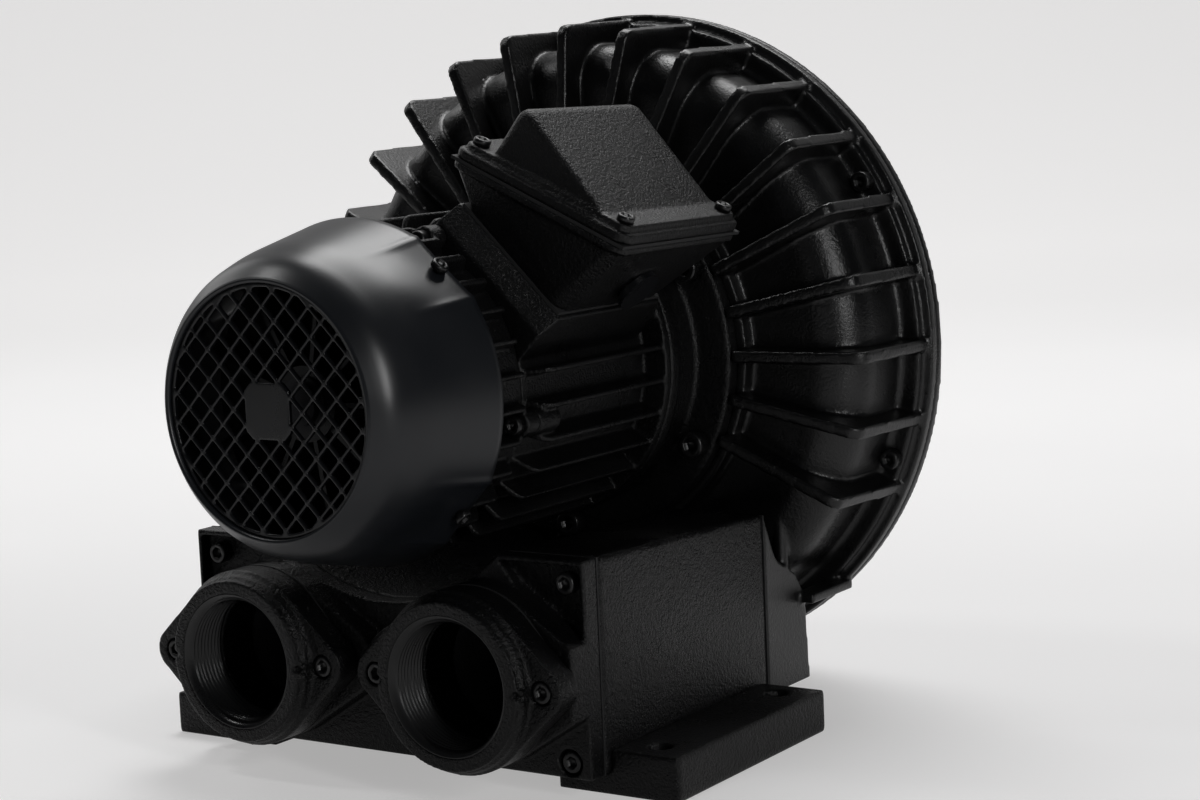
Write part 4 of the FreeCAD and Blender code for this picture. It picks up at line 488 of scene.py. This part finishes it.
# Cowl: pressed sheet with a flat round each screw, and a crease on both sides of the flat.
# Lengths are in mm. The flats and creases fade out over FLAT_FADE from the rear rim.
COWL_SCREW_TURN = math.radians(48.0)
COWL_REAR = -89.5
COWL_FRONT = -156.4
COWL_RADIUS = 79.6
COWL_FLAT = 77.4
COWL_COUNT = 360
COWL_MESH = 2.0
FLAT_FADE = (9.0, 38.0)
FLAT_LIMIT = 0.4
FLAT_DEPTH = 1.15
CREASE_TURN = 14.4
CREASE_WIDTH = 1.3
CREASE_HEIGHT = 0.55
COWL_OUTER = (
    (78.9, COWL_REAR, 0),
    (COWL_RADIUS, COWL_REAR - 0.8, 0),
    (79.0, COWL_REAR - 3.5, 0),
    (70.8, COWL_REAR - 42.0, 90),
    (65.3, COWL_REAR - 58.5, 22),
    (58.3, COWL_FRONT + 0.9, 2.0),
    (57.2, COWL_FRONT, 0.8),
    (55.9, COWL_FRONT + 0.3, 0),
)
COWL_INNER = (
    (55.9, COWL_FRONT + 4.5, 0),
    (63.3, COWL_REAR - 56.8, 20),
    (68.8, COWL_REAR - 41.5, 90),
    (76.9, COWL_REAR - 3.5, 0),
    (COWL_FLAT, COWL_REAR, 0),
)


def from_screw(turn):
    """The angle from the nearest cowl screw."""
    quarter = math.pi / 2
    return (turn - COWL_SCREW_TURN + quarter / 2) % quarter - quarter / 2


def smooth_step(value, low, high):
    part = min(1.0, max(0.0, (value - low) / (high - low)))
    return part * part * (3 - 2 * part)


def pressed(radius, station, turn):
    """The cowl's radius with its flats pressed in and its creases standing out."""
    away = abs(from_screw(turn))
    near_rim = 1 - smooth_step(COWL_REAR - station, *FLAT_FADE)
    hollow = max(0.0, COWL_RADIUS - COWL_FLAT / math.cos(min(away, FLAT_LIMIT)))
    pinch = math.exp(-(((math.degrees(away) - CREASE_TURN) / CREASE_WIDTH) ** 2))
    return radius + near_rim * (CREASE_HEIGHT * pinch - FLAT_DEPTH * hollow)


def make_cowl():
    run = []
    corners = arc_run(COWL_OUTER) + arc_run(COWL_INNER)
    for (r0, s0), (r1, s1) in zip(corners, corners[1:] + corners[:1]):
        gap = math.hypot(r1 - r0, s1 - s0)
        pieces = max(1, int(gap / COWL_MESH))
        for step in range(pieces):
            part = step / pieces
            run.append((r0 + (r1 - r0) * part, s0 + (s1 - s0) * part))
    cowl = turned("cowl_shell", run, (0.0, AXIS_HEIGHT), COWL_COUNT, pressed)
    finish_piece(cowl, "fan_cowl")


# Ports: the cast flange with a stepped collar and two tabs, and the thread inside it.
# Lengths are in mm. The ears are filled out from EAR_RADIUS, as in the source, to EAR_FULL.
PORT_BORE = 28.3
PORT_MOUTH = 31.4
EAR_PITCH = 45.1
EAR_RADIUS = 7.2
EAR_FULL = 10.6
EAR_SLACK = 0.3
COLLAR = ((36.0, 3.0, 0), (39.4, 3.2, 1.0), (40.3, 9.2, 0), (36.0, 9.2, 0))
TAB_LEANS = (-5.5, 1.5)
TAB_START = 1.6
TAB_REACH = 38.9
TAB_LENGTH = 7.4
TAB_RADIUS = 1.5
TAB_COUNT = 16
THREAD_PITCH = 2.309
THREAD_DEPTH = 1.3
THREAD_ROWS = 76
THREAD_COUNT = 120
THREAD_START = 3.1
THREAD_SHORT = 3.3
BORE_SLACK = 0.01
LINING_OUT = PORT_MOUTH + 0.3


def threaded(radius, station, turn):
    """The bore's radius with a helical groove in it; the lining round it stays plain."""
    if radius > PORT_BORE + BORE_SLACK:
        return radius
    phase = (station / THREAD_PITCH + turn / (2 * math.pi)) % 1.0
    return radius + THREAD_DEPTH * (1 - abs(2 * phase - 1))


def fill_out(flange, centre):
    """Widens the ears of a flange, and moves its bore out behind the thread's lining."""
    for vertex in flange.data.vertices:
        for ear in (-EAR_PITCH * MM, EAR_PITCH * MM):
            arm = Vector((vertex.co.x - centre[0] - ear, vertex.co.z - centre[1]))
            if abs(arm.length - EAR_RADIUS * MM) < EAR_SLACK * MM:
                arm *= EAR_FULL / EAR_RADIUS
                vertex.co.x = centre[0] + ear + arm.x
                vertex.co.z = centre[1] + arm.y
        arm = Vector((vertex.co.x - centre[0], vertex.co.z - centre[1]))
        if arm.length < (PORT_MOUTH + 0.2) * MM:
            arm *= LINING_OUT * MM / arm.length
            vertex.co.x = centre[0] + arm.x
            vertex.co.z = centre[1] + arm.y


def thread_run(front, back):
    """The closed profile of the lining: mouth, threaded bore and plain back."""
    run = [(PORT_MOUTH + 0.4, front + 0.35), (PORT_MOUTH - 0.1, front + 0.25)]
    for row in range(THREAD_ROWS + 1):
        station = front + THREAD_START + (back - front - THREAD_SHORT) * row / THREAD_ROWS
        run.append((PORT_BORE, station))
    return run + [(PORT_MOUTH + 1.2, back - 0.2), (PORT_MOUTH + 1.2, front + 1.0)]


def make_port(side, sign):
    name = f"{side}_port_flange"
    low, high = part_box(name)
    front, back = low.y / MM, high.y / MM
    centre = (sign * PORT_X, PORT_Z)
    flange = copy_of(name)
    fill_out(flange, centre)
    collar = arc_run([(radius, front + depth, corner) for radius, depth, corner in COLLAR])
    additions = [turned(f"{side}_collar", collar, centre)]
    for index, lean in enumerate(TAB_LEANS):
        turn = math.radians(lean)
        out = Vector((math.cos(turn), 0.0, math.sin(turn)))
        start = Vector((centre[0], (front + TAB_START) * MM, centre[1])) + out * (TAB_REACH * MM)
        end = start + Vector((0.0, TAB_LENGTH * MM, 0.0))
        additions.append(peg(f"{side}_tab_{index}", start, end, TAB_RADIUS * MM, TAB_COUNT))
    join(flange, additions)
    soften(flange, *PORT_SKIN)
    run = thread_run(front, back)
    join(flange, [turned(f"{side}_thread", run, centre, THREAD_COUNT, threaded)])
    finish_piece(flange, name)
    flange.data.materials.append(LOOKS["black_screw"])
    for face in flange.data.polygons:
        arm = Vector((face.center.x - centre[0], face.center.z - centre[1]))
        if arm.length < LINING_OUT * MM:
            face.material_index = 1


# Terminal box: soft-edged casting between its base and the sloping lid. Lengths are in mm,
# heights are above the motor axis along the normal of the base or of the lid.
LID_CENTRE = 35.8
LID_HALF = 49.75
LID_UNDER = 109.8
LID_FACE = 117.8
LID_BOLT = LID_HALF - 8.2
BASE_FACE = 82.5
BASE_HALF = (35.0, 42.0)
CORNER_STEPS = 7

# The lid's hump: its outline (x, z, corner radius), and its ends (y, inset).
HUMP_OUTLINE = (
    (3.0, LID_FACE - 3.0, 0),
    (3.0, LID_FACE - 2.0, 0),
    (10.5, LID_FACE + 28.0, 6.0),
    (74.0, LID_FACE - 2.0, 0),
    (74.0, LID_FACE - 3.0, 0),
)
HUMP_ENDS = (
    (-46.0, 3.4),
    (-45.5, 1.9),
    (-44.4, 0.8),
    (-42.8, 0.2),
    (-41.0, 0.0),
    (41.0, 0.0),
    (42.8, 0.2),
    (44.4, 0.8),
    (45.5, 1.9),
    (46.0, 3.4),
)
HUMP_MIDDLE = (30.0, LID_FACE + 8.0)
HUMP_SHRINK = 1.6
POCKET_TOP = 34.0
POCKET_RADIUS = 7.8


def place_in(turn):
    """From the frame of the box base or the lid, in mm, to machine axes."""
    across = Vector((math.cos(turn), 0.0, -math.sin(turn)))
    normal = Vector((math.sin(turn), 0.0, math.cos(turn)))
    origin = Vector((0.0, BOX_STATION, AXIS_HEIGHT))

    def place(x, y, z):
        return origin + across * (x * MM) + Vector((0.0, y * MM, 0.0)) + normal * (z * MM)

    return place


in_lid = place_in(LID_TURN)
in_base = place_in(BASE_TURN)
lid_bolts = [
    (LID_CENTRE + sx * LID_BOLT, sy * LID_BOLT) for sx, sy in ((-1, -1), (1, -1), (-1, 1), (1, 1))
]


def soft_oblong(half_x, half_y, radius, centre=0.0):
    """Corner-rounded rectangle as a ring of 2-D points, with an arc at each corner."""
    ring = []
    for corner, (sx, sy) in enumerate(((1, 1), (-1, 1), (-1, -1), (1, -1))):
        for step in range(CORNER_STEPS + 1):
            turn = math.pi / 2 * (corner + step / CORNER_STEPS)
            ring.append(
                (
                    centre + sx * (half_x - radius) + radius * math.cos(turn),
                    sy * (half_y - radius) + radius * math.sin(turn),
                )
            )
    return ring


def stack(name, rings):
    """A closed body through rings of equal length; each ring is a list of 3-D points."""
    vertices = [tuple(point) for ring in rings for point in ring]
    size = len(rings[0])
    faces = [tuple(range(size - 1, -1, -1)), tuple(range(len(vertices) - size, len(vertices)))]
    for level in range(len(rings) - 1):
        start, above = level * size, (level + 1) * size
        for index in range(size):
            beyond = (index + 1) % size
            faces.append((start + index, start + beyond, above + beyond, above + index))
    piece = new_piece(name, vertices, faces)
    clean(piece.data)
    return piece


def round_ring(middle, side, other, radius, count, six=False):
    """Points on a circle in the plane of two unit vectors.

    With six they lie on a hexagon, and radius is the distance to its flats.
    """
    ring = []
    for step in range(count):
        turn = 2 * math.pi * step / count
        reach = radius / math.cos((turn % (math.pi / 3)) - math.pi / 6) if six else radius
        ring.append(middle + side * (reach * math.cos(turn)) + other * (reach * math.sin(turn)))
    return ring


def lid_ring(half, radius, height):
    return [in_lid(x, y, height) for x, y in soft_oblong(half, half, radius, LID_CENTRE)]


def base_ring(grow, radius, height):
    flat = soft_oblong(BASE_HALF[0] + grow, BASE_HALF[1] + grow, radius)
    return [in_base(x, y, height) for x, y in flat]


def peg(name, start, end, radius, count=32):
    """A plain round bar between two points, used as a cutter or a boss."""
    along = (end - start).normalized()
    side = along.orthogonal().normalized()
    other = along.cross(side)
    rings = [round_ring(point, side, other, radius, count) for point in (start, end)]
    return stack(name, rings)


def carve(piece, cutter, way="DIFFERENCE"):
    cutting = piece.modifiers.new("carve", "BOOLEAN")
    cutting.operation = way
    cutting.solver = "EXACT"
    cutting.object = cutter
    set_modifiers(piece)
    bpy.data.objects.remove(cutter)


def make_terminal_box():
    """The node's own box, trimmed to a body with rounded corners."""
    body = copy_of("terminal_box")
    trim = [
        base_ring(0.1, 9.0, BASE_FACE - 1.0),
        base_ring(0.1, 9.0, BASE_FACE + 0.5),
        lid_ring(LID_HALF - 0.9, 7.5, LID_UNDER - 5.0),
        lid_ring(LID_HALF + 0.1, 6.5, LID_UNDER - 4.7),
        lid_ring(LID_HALF + 0.1, 6.5, LID_UNDER),
    ]
    carve(body, stack("box_trim", trim), "INTERSECT")
    soften(body, *BOX_SKIN)
    finish_piece(body, "terminal_box")


def make_hump():
    """The raised wedge of the lid, rounded at its ends and cut away round the bolts."""
    outline = arc_run(HUMP_OUTLINE)
    rings = []
    for y, inset in HUMP_ENDS:
        ring = []
        for x, z in outline:
            away = Vector((x - HUMP_MIDDLE[0], z - HUMP_MIDDLE[1]))
            shrink = max(0.0, 1 - inset * HUMP_SHRINK / max(away.length, 1.0))
            spot = (HUMP_MIDDLE[0] + away.x * shrink, y, HUMP_MIDDLE[1] + away.y * shrink)
            ring.append(in_lid(*spot))
        rings.append(ring)
    hump = stack("lid_hump", rings)
    for index, (x, y) in enumerate(lid_bolts):
        start, end = in_lid(x, y, LID_FACE + 0.1), in_lid(x, y, LID_FACE + POCKET_TOP)
        carve(hump, peg(f"lid_pocket_{index}", start, end, POCKET_RADIUS * MM))
    return hump


def make_lid():
    """A flat plate with a raised field and the hump on it."""
    levels = (
        (0.4, LID_UNDER),
        (0.0, LID_UNDER + 0.6),
        (0.0, LID_UNDER + 4.2),
        (0.5, LID_UNDER + 4.7),
    )
    rim = [lid_ring(LID_HALF - inset, 6.5, height) for inset, height in levels]
    field = [lid_ring(LID_HALF - 2.4, 5.0, LID_UNDER + 2), lid_ring(LID_HALF - 2.6, 5.0, LID_FACE)]
    plate = stack("terminal_lid_cast", rim)
    join(plate, [stack("lid_raised", field), make_hump()])
    soften(plate, *LID_SKIN)
    finish_piece(plate, "terminal_lid")


# Socket screws: a chamfered head with a hexagon socket over a plain shank. Groups that
# enter along the motor axis are (node, head height, shank radius), all in metres.
AXIAL_SCREWS = (
    ("cover_screws", 0.006, 0.003),
    ("flange_screws", 0.008, 0.004),
    ("front_plate_screws", 0.0055, 0.003),
    ("port_screws", 0.006, 0.003),
    ("shield_screws", 0.005, 0.0025),
)

# Screws at given places are (head radius, head height, shank radius, length).
LID_SCREW = (0.004, 0.003, 0.002, 0.0155)
LID_SCREW_TOP = LID_FACE + 3.0
COWL_SCREW = (0.004, 0.0028, 0.002, 0.0094)
COWL_SCREW_TOP = COWL_FLAT + 2.8
COWL_SCREW_STATION = COWL_REAR - 6.0
SCREW_COUNT = 36


def screw_mesh(name, top, along, head, height, shank, length):
    """One socket screw; top is the middle of its head's face, along points into the hole."""
    side = along.orthogonal().normalized()
    other = along.cross(side)
    flat = head * 0.5
    levels = (
        (flat, height * 0.6, True),
        (flat, 0.25 * MM, True),
        (flat * 1.12, 0.0, True),
        (head * 0.86, 0.0, False),
        (head * 0.97, 0.35 * MM, False),
        (head, 0.9 * MM, False),
        (head, height, False),
        (shank, height, False),
        (shank, height + length, False),
    )
    rings = []
    for reach, depth, six in levels:
        rings.append(round_ring(top + along * depth, side, other, reach, SCREW_COUNT, six))
    return stack(name, rings)


def islands(mesh):
    """Low and high corners of each separate solid of a mesh."""
    work = bmesh.new()
    work.from_mesh(mesh)
    bmesh.ops.remove_doubles(work, verts=work.verts, dist=WELD)
    work.verts.index_update()
    reached = set()
    boxes = []
    for seed in work.verts:
        if seed.index in reached:
            continue
        reached.add(seed.index)
        queue = [seed]
        spots = []
        while queue:
            vertex = queue.pop()
            spots.append(vertex.co.copy())
            for edge in vertex.link_edges:
                other = edge.other_vert(vertex)
                if other.index not in reached:
                    reached.add(other.index)
                    queue.append(other)
        low = Vector([min(spot[axis] for spot in spots) for axis in range(3)])
        high = Vector([max(spot[axis] for spot in spots) for axis in range(3)])
        boxes.append((low, high))
    work.free()
    return boxes


def finish_screws(name, parts):
    """Joins the screws of a group, which take the place of one node."""
    whole = parts[0]
    join(whole, parts[1:])
    whole.name = f"{name}_set"
    finish_piece(whole, name)


def screws_along_axis(name, height, shank):
    """Redraws a group of screws that enter from the front, along the motor axis."""
    along = Vector((0, 1, 0))
    parts = []
    for index, (low, high) in enumerate(islands(nodes[name].data)):
        middle = (low + high) / 2
        head = (high.x - low.x) / 2
        top = Vector((middle.x, low.y, middle.z))
        length = high.y - low.y - height
        parts.append(screw_mesh(f"{name}_{index}", top, along, head, height, shank, length))
    finish_screws(name, parts)


def screws_at(name, spots, *sizes):
    """Draws a group of screws at given places; each spot is (top, along)."""
    parts = []
    for index, (top, along) in enumerate(spots):
        parts.append(screw_mesh(f"{name}_{index}", top, along, *sizes))
    finish_screws(name, parts)


def make_screws():
    for name, height, shank in AXIAL_SCREWS:
        screws_along_axis(name, height, shank)
    lid_spots = []
    for x, y in lid_bolts:
        top = in_lid(x, y, LID_SCREW_TOP)
        lid_spots.append((top, (in_lid(x, y, 0.0) - top).normalized()))
    screws_at("terminal_lid_screws", lid_spots, *LID_SCREW)
    cowl_spots = []
    axis = Vector((0.0, COWL_SCREW_STATION * MM, AXIS_HEIGHT))
    for step in range(4):
        turn = COWL_SCREW_TURN + step * math.pi / 2
        out = Vector((math.cos(turn), 0.0, math.sin(turn)))
        cowl_spots.append((axis + out * (COWL_SCREW_TOP * MM), -out))
    screws_at("cowl_screws", cowl_spots, *COWL_SCREW)


def stage_piece():
    """The floor and the wall it curves up into, square to the camera's heading."""
    heading = Vector((-math.sin(AZIMUTH), math.cos(AZIMUTH)))
    side = Vector((heading.y, -heading.x))
    run = [(FLOOR_FRONT, 0.0), (CURVE_START, 0.0)]
    for step in range(1, CURVE_STEPS + 1):
        turn = step / CURVE_STEPS * math.pi / 2
        along = CURVE_START + CURVE_RADIUS * math.sin(turn)
        run.append((along, CURVE_RADIUS - CURVE_RADIUS * math.cos(turn)))
    run.append((CURVE_START + CURVE_RADIUS, WALL_TOP))
    points = []
    for along, height in run:
        for half in (-FLOOR_HALF, FLOOR_HALF):
            spot = heading * along + side * half
            points.append((spot.x, spot.y, height))
    faces = [(2 * k, 2 * k + 1, 2 * k + 3, 2 * k + 2) for k in range(len(run) - 1)]
    floor = new_piece("floor", points, faces)
    for face in floor.data.polygons:
        face.use_smooth = True
    return floor


def stage_look():
    """Matt paper that glows with the distance, for straight and for mirrored rays only."""
    n = Nodes("paper")
    cloud = n.noise(1.2, 3.0)
    grain = n.noise(260.0, 3.0)
    tone = n.mix(n.range(cloud, 0.3, 0.7, 0.0, 1.0), PAPER_DARK, PAPER_LIGHT)
    n.link(tone, n.shader.inputs["Base Color"])
    n.shader.inputs["Roughness"].default_value = 0.9
    n.bump(grain, 0.00006)
    rays = n.tree.nodes.new("ShaderNodeLightPath")
    straight = n.most(rays.outputs["Is Camera Ray"], rays.outputs["Is Transmission Ray"])
    glossy = n.range(rays.outputs["Is Glossy Ray"], 0.0, 1.0, 0.0, GLOSSY_SHARE)
    seen = n.most(straight, glossy)
    mapping = n.tree.nodes.new("ShaderNodeMapping")
    mapping.inputs["Rotation"].default_value = (0.0, 0.0, -AZIMUTH)
    n.link(n.place, mapping.inputs["Vector"])
    axes = n.tree.nodes.new("ShaderNodeSeparateXYZ")
    n.link(mapping.outputs["Vector"], axes.inputs["Vector"])
    far = n.range(axes.outputs["Y"], *GLOW_REACH, GLOW_NEAR, GLOW_FAR)
    # Glow lowered to FRONT_SHARE over FRONT_REACH in front of the machine: painted shade in its
    # reflections.
    front = n.range(axes.outputs["Y"], *FRONT_REACH, FRONT_SHARE, 1.0)
    n.shader.inputs["Emission Color"].default_value = GLOW_COLOUR
    n.link(n.times(n.times(far, front), seen), n.shader.inputs["Emission Strength"])
    return n.material


def add_stage():
    floor = stage_piece()
    floor.data.materials.append(stage_look())


scene.view_settings.view_transform = "Standard"
add_camera()
add_world()
add_stage()
for lamp_row in LAMPS:
    add_light(*lamp_row)
dress()
for casting_row in CASTINGS:
    cast(*casting_row)
make_cowl()
make_port("inlet", 1)
make_port("outlet", -1)
make_terminal_box()
make_lid()
make_screws()
